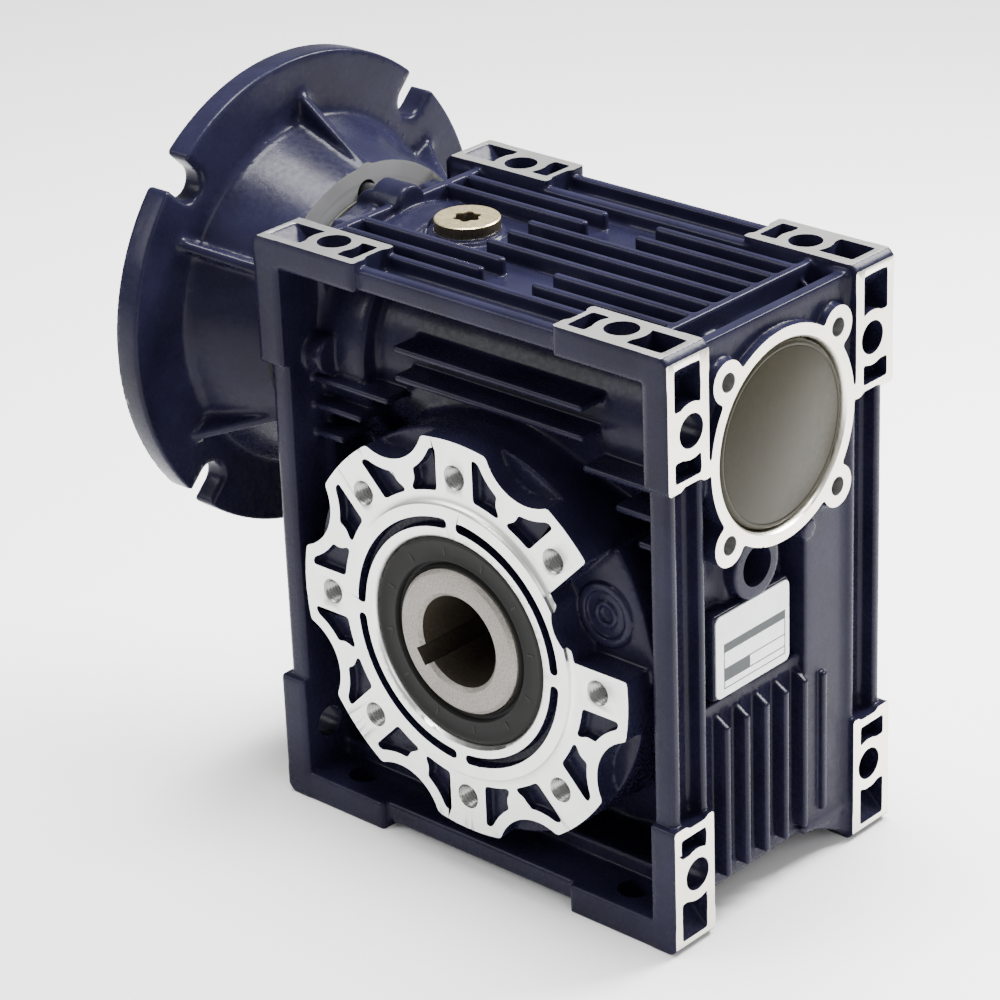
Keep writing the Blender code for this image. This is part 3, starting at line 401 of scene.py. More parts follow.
class Casting:
    """A grid of distances to a casting's surface, in which shapes blend into one another."""

    def __init__(self, low, high, voxel):
        self.voxel = voxel
        self.low = np.array(low, float) - 3 * voxel
        count = np.ceil((np.array(high) - self.low) / voxel).astype(int) + 4
        self.field = np.full(count, 9.0, np.float32)

    def window(self, shape, margin):
        first = np.floor((shape.low - margin - self.low) / self.voxel).astype(int)
        last = np.ceil((shape.high + margin - self.low) / self.voxel).astype(int) + 1
        first = np.clip(first, 0, self.field.shape)
        last = np.clip(last, 0, self.field.shape)
        part = tuple(slice(a, b) for a, b in zip(first, last))
        axes = [(self.low[i] + self.voxel * np.arange(first[i], last[i])).astype(np.float32)
                for i in range(3)]
        return part, np.ix_(*axes)

    def add(self, shape, blend=2.5):
        part, axes = self.window(shape, blend + 3 * self.voxel)
        here = self.field[part]
        there = shape.distance(*axes)
        meet = np.maximum(blend - np.abs(here - there), 0.0)
        self.field[part] = np.minimum(here, there) - meet * meet / (4.0 * blend)

    def cut(self, shape, blend=1.0):
        part, axes = self.window(shape, blend + 3 * self.voxel)
        here = self.field[part]
        there = -shape.distance(*axes)
        meet = np.maximum(blend - np.abs(here - there), 0.0)
        self.field[part] = np.maximum(here, there) + meet * meet / (4.0 * blend)

    def mesh(self, name, adaptivity):
        grid = openvdb.FloatGrid(9.0)
        grid.copyFromArray(self.field)
        points, triangles, quads = grid.convertToPolygons(adaptivity=adaptivity)
        points = points.astype(np.float64) * self.voxel + self.low
        points = (points * MM + np.array(OUTPUT)).astype(np.float32)
        made = bpy.data.meshes.new(name)
        made.vertices.add(len(points))
        made.vertices.foreach_set("co", points.ravel())
        corners = np.concatenate([triangles[:, ::-1].ravel(), quads[:, ::-1].ravel()])
        made.loops.add(len(corners))
        made.loops.foreach_set("vertex_index", corners.astype(np.int32))
        counts = np.concatenate([np.full(len(triangles), 3), np.full(len(quads), 4)])
        starts = np.concatenate([[0], np.cumsum(counts)[:-1]])
        made.polygons.add(len(counts))
        made.polygons.foreach_set("loop_start", starts.astype(np.int32))
        made.update(calc_edges=True)
        made.validate()
        return made


# ---------------------------------------------------------------- cutters and turned pieces

TURN = {"x": Matrix.Rotation(math.radians(90), 4, "Y"), "y": Matrix.Rotation(math.radians(-90), 4, "X"),
        "z": Matrix.Identity(4)}


def placed(bm, name, matrix=Matrix.Identity(4)):
    bmesh.ops.recalc_face_normals(bm, faces=bm.faces)
    bmesh.ops.transform(bm, matrix=TO_FRAME @ matrix, verts=bm.verts)
    mesh = bpy.data.meshes.new(name)
    bm.to_mesh(mesh)
    bm.free()
    return mesh


def on_axis(axis, across):
    u, v = across
    return Matrix.Translation({"x": (0, u, v), "y": (u, 0, v), "z": (u, v, 0)}[axis]) @ TURN[axis]


def lathe(name, profile, axis="y", across=(0.0, 0.0), sides=96):
    """A turned mesh from (radius, place along the axis); a profile that starts on the axis is solid."""
    bm = bmesh.new()
    points = [Vector((r, 0.0, along)) for r, along in profile]
    rings = []
    for p in points:
        if p.x < 1e-6:
            rings.append([bm.verts.new(p)])
        else:
            rings.append([bm.verts.new(Matrix.Rotation(2 * math.pi * k / sides, 3, "Z") @ p)
                          for k in range(sides)])
    pairs = list(zip(rings, rings[1:]))
    if len(rings[0]) > 1:
        pairs.append((rings[-1], rings[0]))
    for a, b in pairs:
        for k in range(sides):
            j = (k + 1) % sides
            corners = [a[k % len(a)], a[j % len(a)], b[j % len(b)], b[k % len(b)]]
            unique = list(dict.fromkeys(corners))
            if len(unique) > 2:
                bm.faces.new(unique)
    return placed(bm, name, on_axis(axis, across))


def round_cut(axis, radius, start, end, across=(0.0, 0.0), sides=64):
    return lathe("cut", [(0.0, start), (radius, start), (radius, end), (0.0, end)], axis, across, sides)


def box_cut(low, high):
    """A box whose faces are split up, so that a machined plane is made of many small simple faces."""
    bm = bmesh.new()
    bmesh.ops.create_cube(bm, size=1.0)
    low, high = Vector(low), Vector(high)
    middle = (low + high) / 2
    size = high - low
    bmesh.ops.subdivide_edges(bm, edges=bm.edges[:], cuts=36, use_grid_fill=True)
    return placed(bm, "cut", Matrix.Translation(middle) @ Matrix.Diagonal((*size, 1.0)))


def prism_cut(outline, axis, start, end, name="cut"):
    """A straight prism; the outline is drawn in (x, z) for the Y axis and in (y, z) for X."""
    bm = bmesh.new()
    place = {"x": lambda u, v, w: (w, u, v), "y": lambda u, v, w: (u, w, v),
             "z": lambda u, v, w: (u, v, w)}[axis]
    rows = [[bm.verts.new(place(u, v, w)) for u, v in outline] for w in (start, end)]
    bm.faces.new(rows[0])
    bm.faces.new(rows[1])
    count = len(outline)
    for i in range(count):
        j = (i + 1) % count
        bm.faces.new((rows[0][i], rows[0][j], rows[1][j], rows[1][i]))
    return placed(bm, name)


def arc(centre, radius, start, end, steps):
    for i in range(steps + 1):
        angle = math.radians(start + (end - start) * i / steps)
        yield centre[0] + radius * math.cos(angle), centre[1] + radius * math.sin(angle)


def polar(radius, degrees):
    angle = math.radians(degrees)
    return radius * math.cos(angle), radius * math.sin(angle)


COVER_SCREW_PLACES = [polar(COVER_SCREWS, 22.5 + 45 * k) for k in range(8)]
FLANGE_SCREW_PLACES = [(y, z + WORM_Z) for y, z in (polar(FLANGE_SCREWS, 90 * k) for k in range(4))]


def scene_object(name, mesh, materials=()):
    made = bpy.data.objects.new(name, mesh)
    bpy.context.scene.collection.objects.link(made)
    for material in materials:
        mesh.materials.append(material)
    return made


def cut_away(made, cuts):
    """Takes (mesh, material) pairs out of an object; each cut face takes its cutter's material."""
    group = bpy.data.collections.new(made.name + "_cuts")
    bpy.context.scene.collection.children.link(group)
    for mesh, material in cuts:
        mesh.materials.append(material)
        cutter = bpy.data.objects.new("cutter", mesh)
        group.objects.link(cutter)
    boolean = made.modifiers.new("cuts", "BOOLEAN")
    boolean.operation = "DIFFERENCE"
    boolean.operand_type = "COLLECTION"
    boolean.collection = group
    boolean.solver = "MANIFOLD"
    boolean.material_mode = "TRANSFER"
    bpy.context.view_layer.update()
    shown = made.evaluated_get(bpy.context.evaluated_depsgraph_get())
    mesh = bpy.data.meshes.new_from_object(shown)
    made.modifiers.clear()
    made.data = mesh
    for cutter in list(group.objects):
        bpy.data.objects.remove(cutter, do_unlink=True)
    bpy.data.collections.remove(group)


def smooth(made, angle=40.0):
    made.data.shade_smooth()
    made.data.set_sharp_from_angle(angle=math.radians(angle))


def piece(name, mesh, material, body, nodes=(), cuts=(), angle=40.0):
    """A finished piece: its mesh with its cuts, its material, the body it rides on and what it replaces."""
    made = scene_object(name, mesh, [material])
    if cuts:
        cut_away(made, cuts)
    smooth(made, angle)
    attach(made, body)
    if nodes:
        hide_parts(*nodes)


# ---------------------------------------------------------------- the housing

FIN = 2.7
FIN_TOP = 117.4
ROOF = 111.3


def corner_round(sx, pad, radius=6.5):
    """What is taken off the edge between a level pad and an end pad, so that the two never meet."""
    up = math.copysign(1.0, pad)
    cx, cz = HALF_LENGTH + STOCK - radius, abs(pad) - radius

    def distance(x, y, z):
        u, v = sx * x - cx, up * z - cz
        return np.maximum(np.maximum(-u, -v), radius - np.sqrt(u * u + v * v)) + 0.0 * y

    x0, x1 = sorted((sx * cx, sx * (cx + radius + 3)))
    z0, z1 = sorted((up * cz, up * (cz + radius + 3)))
    return Shape(distance, (x0, -60, z0), (x1, 60, z1))


def pad_corners(c):
    """Bars of the open frame and the thicker corners that carry the pads."""
    for sy in (-1, 1):
        inner, outer = sy * (PAD_INNER - 0.5), sy * BAR_Y
        c.add(block((-BAR_X, inner, OPENING_TOP), (BAR_X, outer, BAR_TOP), 1.8))
        c.add(block((-BAR_X, inner, BAR_BOTTOM), (BAR_X, outer, OPENING_BOTTOM), 1.8))
        for sx in (-1, 1):
            c.add(block((sx * OPENING_X, inner, BAR_BOTTOM), (sx * BAR_X, outer, BAR_TOP), 1.8))
    for sy in (-1, 1):
        for sx in (-1, 1):
            end = sx * (HALF_LENGTH + STOCK)
            foot = sx * (HALF_LENGTH - PAD_LENGTH)
            y0, y1 = sy * PAD_INNER, sy * HALF_WIDTH
            for pad, edge in ((TOP + STOCK, OPENING_TOP), (BOTTOM - STOCK, OPENING_BOTTOM)):
                reach = math.copysign(PAD_LENGTH + STOCK, pad)
                c.add(block((foot, y0, edge), (end, y1, pad), 1.3), 0.8)
                c.add(block((sx * OPENING_X, y0, pad - reach), (end, y1, pad), 1.3), 0.8)
    for sx in (-1, 1):
        for pad in (TOP + STOCK, BOTTOM - STOCK):
            c.cut(corner_round(sx, pad), 0.3)


POCKET_Y = (40.5, 52.7)
HOLE_WALL = 9.3
OUTER_POCKET = (68.0, 81.6)
INNER_POCKET = (44.8, 51.6)


def pocket_pair(c, sy, hole, place):
    """A shallow pocket inwards of a pad hole and, outwards, a ramp that deepens from the corner.

    The pad's own place(along, out) turns a distance along the pad and one out of it into (x, z).
    """
    y0, y1 = sy * POCKET_Y[0], sy * POCKET_Y[1]
    (x0, z0), (x1, z1) = place(INNER_POCKET[0], -5.5), place(INNER_POCKET[1], 6)
    c.cut(outside_of(block((x0, y0, z0), (x1, y1, z1), 0.8), hole), 0.8)
    near, far = OUTER_POCKET
    outline = [place(near, 8), place(far + 8, 8), place(far + 2, 2), place(far - 8.5, -8.5),
               place(near, -8.5)]
    c.cut(outside_of(sheet_of("y", outline, y0, y1, 0.6), hole), 0.8)


def pad_pockets(c):
    for sy in (-1, 1):
        for sx in (-1, 1):
            for pad in (TOP, BOTTOM):
                up = math.copysign(1.0, pad)
                hole = bar("z", HOLE_WALL, pad - up * 14, pad + up * 6, (sx * HOLE_X, sy * HOLE_Y), 0.0)
                pocket_pair(c, sy, hole, lambda along, out: (sx * along, pad + up * out))
            for level, up in ((SIDE_HOLES[1], 1.0), (SIDE_HOLES[0], -1.0)):
                end = sx * HALF_LENGTH
                hole = bar("x", HOLE_WALL, end - sx * 14, end + sx * 6, (sy * HOLE_Y, level), 0.0)
                centre = level - up * HOLE_X
                pocket_pair(c, sy, hole, lambda along, out: (end + sx * out, centre + up * along))


GROOVE_Y = (39.6, 49.8)


def bar_grooves(c):
    """Channels in the outer edges of the bars, between the pads."""
    reach = HALF_LENGTH - PAD_LENGTH + 1.2
    low, high = BOTTOM + PAD_LENGTH - 1.2, TOP - PAD_LENGTH + 1.2
    deep = 5.5
    for sy in (-1, 1):
        y0, y1 = sy * GROOVE_Y[0], sy * GROOVE_Y[1]
        c.cut(block((-reach, y0, BAR_TOP - deep), (reach, y1, TOP + 8), 2.0))
        c.cut(block((-reach, y0, BOTTOM - 8), (reach, y1, BAR_BOTTOM + deep), 2.0))
        c.cut(block((BAR_X - deep, y0, low), (HALF_LENGTH + 8, y1, high), 2.0))
        c.cut(block((-HALF_LENGTH - 8, y0, low), (-BAR_X + deep, y1, high), 2.0))


def walls(c):
    """The closed box between the two open frames: roof, floor and both ends."""
    y0, y1 = -PAD_INNER - 1, PAD_INNER + 1
    c.add(block((-82, y0, 104), (69, y1, ROOF), 1.0))
    c.add(block((60, y0, 101), (82, y1, 106.8), 0.8))
    c.add(block((-80, y0, -75.5), (79.5, y1, -70), 1.0))
    c.add(block((76, y0, -75.0), (79.5, 20, -9), 0.8))
    c.add(block((72.5, y0, -12.0), (75.6, 20, 76), 0.8))
    c.add(block((73, 14.4, -75.0), (83, y1, 76), 0.8))
    c.add(sheet_of("x", [(y1, -84.5), (y1, -72.0), (12.0, -72.0), (20.0, -75.0)], 70, 83.5, 1.0))
    c.add(block((78.8, y0, 71.0), (83, y1, 116.6), 0.7), 0.6)
    c.add(block((74, y0, 71.0), (82, y1, 104), 0.7), 0.6)
    c.add(sheet_of("y", [(66.0, 104.0), (66.0, 116.0), (80.0, 106.0), (80.0, 104.0)], 29.6, 31.2, 0.5), 0.6)
    c.add(block((-83, y0, 30), (-74, y1, 112), 1.5))
    c.add(block((-79.5, y0, -75.0), (-76, y1, 40), 1.0))
    c.add(block((-77, -19.4, -73), (77, -13.0, 110), 1.0), 4.0)


def worm_tube(c):
    z = WORM_Z
    c.add(bar("x", TUBE_RADIUS, -77, 77, (0, z), 1.0), 5.0)
    c.add(bar("x", COLLAR_RADIUS, COLLAR_END - 0.8, COLLAR_START, (0, z), 2.0), 3.0)
    c.add(bar("x", CAP_RING, 77.0, HALF_LENGTH + STOCK, (0, z), 0.6), 0.7)
    for sy in (-EAR_OFFSET, EAR_OFFSET):
        for sz in (-EAR_OFFSET, EAR_OFFSET):
            c.add(bar("x", EAR_RADIUS, 76.5, HALF_LENGTH + STOCK, (sy, z + sz), 0.6), 1.6)
    for side in (-1, 1):
        c.add(bar("x", 6.8, COLLAR_END - 0.8, -68.0, (0, z + side * FLANGE_SCREWS), 1.5), 2.0)
        c.add(bar("x", 7.0, -77, -68.0, (side * 40.0, z + 1.0), 1.0), 1.6)
        c.add(block((80.0, side * 35.2, 74.6), (HALF_LENGTH + STOCK, side * 38.0, 79.5), 0.5), 0.8)


SIDE_FIN_FRONT = 43.6
SIDE_FIN = 2.5
FIN_RING = 79.0


def side_fins(c):
    for sy, front in ((-1, SIDE_FIN_FRONT), (1, 41.0)):
        deep = sy * 16.0
        for z in (87.0, 77.0):
            c.add(block((-38.0, deep, z - SIDE_FIN / 2), (41.5, sy * front, z + SIDE_FIN / 2), 0.9), 1.2)
        for z in (67.3, 57.5, 47.7):
            edge = math.sqrt(FIN_RING ** 2 - z ** 2)
            for sx in (-1, 1):
                c.add(block((sx * (OPENING_X + 1), deep, z - SIDE_FIN / 2),
                            (sx * edge, sy * front, z + SIDE_FIN / 2), 0.9), 1.2)


def roof_fins(c):
    for y in (-30, -20, -10, 0, 10, 20, 30):
        runs = ((-70.0, -9.6), (11.4, 67.5)) if abs(y) >= 20 else ((-25.6, 67.5),)
        for start, end in runs:
            c.add(block((start, y - FIN / 2, ROOF - 3), (end, y + FIN / 2, FIN_TOP), 0.95), 1.0)
    for start, end in ((-73.4, -70.0), (66.4, 69.6)):
        c.add(block((start, -PAD_INNER - 2, ROOF - 8), (end, PAD_INNER + 2, FIN_TOP), 0.95), 1.0)
    for y in (-20.5, 20.5):
        c.add(block((-82.0, y - 4.5, ROOF - 3), (-71.0, y + 4.5, 115.5), 2.0), 2.0)
    c.add(bar("z", 12.6, 100, 113.2, (FILLER_X, 0.0), 0.8), 2.0)
    for start in (-66.5, -81.0):
        ridge = outside_of(bar("x", COLLAR_RADIUS + 0.6, start, start + 3.0, (0, WORM_Z), 0.8),
                           block((-90, -60, 0), (0, 60, 108), 0.0))
        c.add(Shape(ridge.distance, (start, -26, 106), (start + 3.0, 26, 117)), 2.0)


END_FIN_FRONT = 85.0
END_FIN_FOOT = -70.5


def end_fins(c):
    for sx in (-1, 1):
        for y in (-27, -17, -7, 3, 13):
            outline = [(sx * 76.0, END_FIN_FOOT), (sx * END_FIN_FRONT, END_FIN_FOOT),
                       (sx * END_FIN_FRONT, -16.5), (sx * 76.0, -10.9)]
            c.add(sheet_of("y", outline, y - FIN / 2, y + FIN / 2, 0.8), 1.0)
    c.add(block((80.0, 23 - FIN / 2, END_FIN_FOOT + 2), (END_FIN_FRONT, 23 + FIN / 2, -17.5), 0.8), 0.7)
    c.add(block((72.0, -29.7, -7.9), (81.2, 8.8, 22.2), 1.2), 1.0)
    c.add(bar("x", 11.3, 68.0, 81.8, RING_BOSS, 0.7), 0.6)
    c.add(bar("x", 3.6, 72.0, 84.8, (15.0, 36.7), 1.0), 1.0)


def output_drum(c):
    c.add(bar("y", DRUM_RADIUS, -19.0, COVER_SEAT + STOCK, (0, 0), 1.5), 4.0)
    c.add(bar("y", FACE_RADIUS, -FACE_Y - STOCK, -15.0, (0, 0), 1.8), 4.0)
    c.add(bar("y", SPIGOT + 1.2, -RING_Y - STOCK, -40.0, (0, 0), 0.6), 0.8)


def plug_boss(c):
    """The blank boss for a level plug, with the three-sided pad round it."""
    outline = [(38.0, 28.0), (56.5, 45.5), (58.5, 44.6), (63.2, 37.2), (67.5, 27.0), (70.0, 18.0),
               (72.5, 9.8), (77.0, 9.8), (77.0, 3.0), (45.0, 3.0)]
    c.add(sheet_of("y", outline, -47.2, -16.0, 1.2), 2.0)
    centre = polar(BOLT_RADIUS, PLUG_ANGLE)
    c.add(bar("y", 11.0, -48.6, -30.0, centre, 0.8), 0.6)
    c.cut(bar("y", 8.0, -56.0, -47.2, centre, 0.5), 0.6)
    c.add(bar("y", 4.6, -48.2, -40.0, centre, 0.6), 0.6)
    c.cut(bar("y", 2.9, -56.0, -46.6, centre, 0.8), 0.6)


def face_pocket(c, sign, arm, side):
    """The cast pocket beside one arm of an output face, between the arm, the scallop and the ring."""
    middle = arm + side * 22.5
    scallop = polar(SCALLOP_CENTRE, middle)
    boss = polar(BOLT_RADIUS, middle)
    ax, az = polar(1.0, arm)
    mx, mz = polar(1.0, middle)
    floor, mouth = sign * (FACE_Y - 3.2), sign * (FACE_Y + 6)

    def distance(x, y, z):
        radius = np.sqrt(x * x + z * z)
        from_arm = (z * ax - x * az) * side
        from_middle = -(z * mx - x * mz) * side
        limits = [51.5 - radius, radius - 66.2, 7.7 - from_arm, 1.8 - from_middle,
                  21.9 - np.sqrt((x - scallop[0]) ** 2 + (z - scallop[1]) ** 2),
                  4.6 - np.sqrt((x - boss[0]) ** 2 + (z - boss[1]) ** 2),
                  -(x * ax + z * az)]
        wall = limits[0]
        for limit in limits[1:]:
            meet = np.maximum(1.4 - np.abs(wall - limit), 0.0)
            wall = np.maximum(wall, limit) + meet * meet / 5.6
        cap = within(y, floor, mouth)
        return rounded(wall + 1.0, cap + 1.0, 1.0)

    centre = polar(60.0, arm + side * 11.0)
    low = (centre[0] - 14, min(floor, mouth), centre[1] - 14)
    high = (centre[0] + 14, max(floor, mouth), centre[1] + 14)
    c.cut(Shape(distance, low, high), 0.5)


def arc_slot(c, sign, middle):
    """One of the four shallow slots in the spigot ring."""
    floor, mouth = sign * (RING_Y - 4.0), sign * (RING_Y + 6)
    radius, half_width = 41.7, 1.7
    reach = math.radians(45.0) - (1.9 + half_width) / radius

    def distance(x, y, z):
        angle = np.arctan2(z, x) - math.radians(middle)
        angle = np.abs((angle + math.pi) % (2 * math.pi) - math.pi)
        clamped = np.minimum(angle, reach)
        r = np.sqrt(x * x + z * z)
        across = r * r + radius * radius - 2 * r * radius * np.cos(angle - clamped)
        gap = np.sqrt(np.maximum(across, 0.0)) - half_width
        cap = within(y, floor, mouth)
        return rounded(gap + 0.8, cap + 0.8, 0.8)

    lows = (-44, min(floor, mouth), -44)
    highs = (44, max(floor, mouth), 44)
    c.cut(Shape(distance, lows, highs), 0.4)


def inside_frame(shape):
    """A cut that stops at the inner faces of the open frame."""
    def distance(x, y, z):
        return np.maximum(shape.distance(x, y, z), np.maximum(np.abs(x), np.abs(z)) - OPENING_X + 0.4)
    return Shape(distance, shape.low, shape.high)


def lobed_face(c, sign, skipped=()):
    for k in range(8):
        middle = 22.5 + 45 * k
        if middle not in skipped:
            c.cut(inside_frame(bar("y", SCALLOP_RADIUS, sign * SCALLOP_FLOOR, sign * (FACE_Y + 6),
                                   polar(SCALLOP_CENTRE, middle), 1.0)), 1.0)
        for side in (-1, 1):
            if 45 * k + side * 22.5 not in skipped:
                face_pocket(c, sign, 45 * k, side)
    for k in range(4):
        arc_slot(c, sign, 45 + 90 * k)


def plug_sector(c):
    """The face is cut back between two arms to clear the plug boss."""
    centre = polar(BOLT_RADIUS, PLUG_ANGLE)

    def distance(x, y, z):
        radius = np.sqrt(x * x + z * z)
        upper = (x - z) / math.sqrt(2.0)
        wedge = np.maximum(np.maximum(48.6 - radius, 7.5 - z), np.maximum(7.0 - upper, x - OPENING_X + 0.2))
        ring = np.sqrt((x - centre[0]) ** 2 + (z - centre[1]) ** 2) - 11.9
        wall = np.minimum(wedge, ring)
        return np.maximum(np.maximum(wall, y + 46.4), -70.0 - y)

    c.cut(Shape(distance, (35, -64, 3), (82, -46.4, 82)), 1.0)


def face_cuts(sign):
    """Machining of one output face: the lobed plane, the spigot ring, the seal's bore and the threads."""
    out = sign * (RING_Y + 12)
    face, ring = sign * FACE_Y, sign * RING_Y
    plane = lathe("cut", [(SPIGOT + 1.1, out), (SPIGOT + 1.1, face), (95.0, face), (95.0, out)],
                  "y", sides=160)
    rim = lathe("cut", [(0.0, out), (SPIGOT + 2.5, out), (SPIGOT + 2.5, ring), (0.0, ring)], "y", sides=160)
    outer = lathe("cut", [(SPIGOT, out), (SPIGOT, face + sign * 0.9), (SPIGOT + 1.1, face),
                          (SPIGOT + 3.0, face - sign * 0.02), (SPIGOT + 3.0, out)], "y", sides=160)
    mouth = lathe("cut", [(0.0, out), (SEAL_RADIUS + 1.0, out), (SEAL_RADIUS + 1.0, ring),
                          (SEAL_RADIUS, ring - sign * 1.0), (SEAL_RADIUS, sign * SEAL_SHOULDER),
                          (0.0, sign * SEAL_SHOULDER)], "y", sides=160)
    cuts = [(plane, FACED), (rim, FACED), (outer, FACED), (mouth, FACED)]
    for k in range(8):
        # The threads take the darkened thread material: painted shade inside the holes.
        cuts.append((thread_cut(sign, polar(BOLT_RADIUS, 45 * k)), THREAD_PAINTED_SHADE))
    return cuts


def thread_cut(sign, across, radius=4.0, pitch=1.25, depth=14.0):
    """A tapped hole as a cutter: a chamfered mouth, then grooves one pitch apart."""
    face = sign * FACE_Y
    profile = [(0.0, face + sign * 6), (radius + 0.35, face + sign * 6), (radius + 0.35, face),
               (radius - 0.3, face - sign * 0.65)]
    for i in range(int(depth / pitch)):
        start = 0.65 + pitch * i
        profile += [(radius, face - sign * (start + pitch * 0.4)),
                    (radius - 0.62, face - sign * (start + pitch * 0.9))]
    profile += [(radius - 0.7, face - sign * depth), (0.0, face - sign * (depth + 2))]
    return lathe("cut", profile, "y", across, 32)


def spot_face():
    """The spot face under the filler plug's washer."""
    return lathe("cut", [(0.0, 120.0), (13.5, 120.0), (13.5, 113.0), (0.0, 113.0)], "z", (FILLER_X, 0.0), 48)


def housing():
    c = Casting((-89.5, -62.5, -88.5), (88.5, 57.5, 124.0), VOXEL)
    walls(c)
    worm_tube(c)
    output_drum(c)
    c.cut(block((72.5, 11.4, -8.5), (90.0, 14.4, 37.5), 0.8), 0.6)
    side_fins(c)
    pad_corners(c)
    roof_fins(c)
    end_fins(c)
    bar_grooves(c)
    pad_pockets(c)
    plug_sector(c)
    plug_boss(c)
    lobed_face(c, -1, (PLUG_ANGLE,))
    big = 140.0
    cuts = [
        (box_cut((-100, -80, TOP), (100, -30, big)), MILLED),
        (box_cut((-100, 30, TOP), (100, 80, big)), MILLED),
        (box_cut((-100, -80, -big), (100, 80, BOTTOM)), MILLED),
        # The end faces, and below them the cap ring's face, take the milled copy with painted warm light.
        (box_cut((HALF_LENGTH, -80, -100), (big, 80, 130)), MILLED_PAINTED_WARM_LIGHT),
        (box_cut((-big, -80, -100), (-HALF_LENGTH, -PAD_INNER + 1.0, 130)), MILLED_PAINTED_WARM_LIGHT),
        (box_cut((-big, PAD_INNER - 1.0, -100), (-HALF_LENGTH, 80, 130)), MILLED_PAINTED_WARM_LIGHT),
        (round_cut("x", 60.0, COLLAR_END, -100, (0, WORM_Z), 96), SEAT),
        (round_cut("y", DRUM_RADIUS + 0.4, COVER_SEAT, 70.0, sides=128), FACED),
        (round_cut("y", CHAMBER_RADIUS, -17.0, 60.0, sides=96), NAVY),
        (round_cut("y", BALL_BORE, -50.4, -10.0, sides=96), BORED),
        (round_cut("x", 25.0, -70.0, 70.0, (0, WORM_Z), 64), NAVY),
        (round_cut("x", 34.3, COLLAR_END - 4, -64.5, (0, WORM_Z), 96), BORED),
        (lathe("cut", [(0.0, 92.0), (32.0, 92.0), (32.0, HALF_LENGTH), (31.3, HALF_LENGTH - 0.9),
                       (31.3, 60.4), (0.0, 60.4)], "x", (0, WORM_Z), 128), MILLED_PAINTED_WARM_LIGHT),
        (round_cut("z", 8.3, 90.0, 120.0, (FILLER_X, 0.0), 32), BORED),
        (round_cut("x", 7.0, 69.5, 90.0, RING_BOSS, 40), NAVY),
        (spot_face(), NAVY),
    ]
    for sy in (-HOLE_Y, HOLE_Y):
        for x in (-HOLE_X, HOLE_X):
            cuts.append((round_cut("z", PAD_HOLE, OPENING_TOP - 3, TOP + 4, (x, sy), 48), NAVY))
            cuts.append((round_cut("z", PAD_HOLE, BOTTOM - 4, OPENING_BOTTOM + 3, (x, sy), 48), NAVY))
        for z in SIDE_HOLES:
            cuts.append((round_cut("x", PAD_HOLE, OPENING_X - 3, HALF_LENGTH + 4, (sy, z), 48), NAVY))
            depth = 3.0 if z < 0 else -2.0
            cuts.append((round_cut("x", PAD_HOLE, -HALF_LENGTH - 4, -OPENING_X + depth, (sy, z), 48), NAVY))
    for sy in (-EAR_OFFSET, EAR_OFFSET):
        for sz in (-EAR_OFFSET, EAR_OFFSET):
            cuts.append((round_cut("x", 3.2, 77.0, 92.0, (sy, WORM_Z + sz), 32), BORED))
    # The flange and cover screw holes take the darkened thread material: painted shade inside them.
    for place in FLANGE_SCREW_PLACES:
        cuts.append((round_cut("x", 4.4, COLLAR_END - 4, -70.0, place, 24), THREAD_PAINTED_SHADE))
    for place in COVER_SCREW_PLACES:
        cuts.append((round_cut("y", 3.5, COVER_SEAT - 12, 60.0, place, 24), THREAD_PAINTED_SHADE))
    piece("housing_casting", c.mesh("housing_casting", ADAPTIVITY), NAVY, "casing",
          ["housing"], cuts + face_cuts(-1), 48.0)


# ---------------------------------------------------------------- the rear cover

def output_cover():
    seat = COVER_SEAT + 0.3
    reach = DRUM_RADIUS
    c = Casting((-reach, 33.5, -reach), (reach, RING_Y + 2, reach), VOXEL)
    c.add(bar("y", 77.0, seat, COVER_PLATE, (0, 0), 1.2))
    c.add(bar("y", FACE_RADIUS, seat, FACE_Y + STOCK, (0, 0), 1.0), 2.5)
    c.add(bar("y", SPIGOT + 1.2, 45.0, RING_Y + STOCK, (0, 0), 0.6), 0.8)
    c.add(bar("y", 65.9, 36.0, 46.0, (0, 0), 0.6), 0.3)
    c.cut(bar("y", 59.0, 30.0, 44.8, (0, 0), 1.0), 1.0)
    c.add(bar("y", 46.0, 34.0, 46.0, (0, 0), 0.8), 1.5)
    lobed_face(c, 1)
    cuts = face_cuts(1) + [
        (round_cut("y", BALL_BORE, 20.0, SEAL_SHOULDER, sides=96), BORED),
        (box_cut((-90, 20.0, -90), (90, 34.2, 90)), BORED)]
    # The screw holes take the darkened thread material: painted shade inside them.
    for place in COVER_SCREW_PLACES:
        cuts.append((round_cut("y", 3.5, 30.0, 70.0, place, 24), THREAD_PAINTED_SHADE))
    piece("output_cover_casting", c.mesh("output_cover_casting", ADAPTIVITY), NAVY, "casing",
          ["output_cover"], cuts, 48.0)


# ---------------------------------------------------------------- the motor flange

def around_worm(y, z, degrees):
    """Distance outwards along a direction about the worm axis, and distance across it."""
    across, up = polar(1.0, degrees)
    z = z - WORM_Z
    return y * across + z * up, z * across - y * up


def flange_rib(degrees):
    """A tapering rib between the disc and the neck."""
    foot, head = Vector((FLANGE_BACK - 0.5, 70.5)), Vector((FLANGE_NECK - 1.0, 51.5))
    run = (head - foot).normalized()

    def distance(x, y, z):
        out, across = around_worm(y, z, degrees)
        edge = (out - foot.y) * run.x - (x - foot.x) * run.y
        limit = np.maximum(np.maximum(edge, 46.0 - out), x - FLANGE_NECK)
        return rounded(limit + 1.4, np.abs(across) - 1.8 + 1.4, 1.4)

    u, v = polar(58.0, degrees)
    return Shape(distance, (FLANGE_BACK - 4, u - 15, v - 15 + WORM_Z), (FLANGE_NECK, u + 15, v + 15 + WORM_Z))


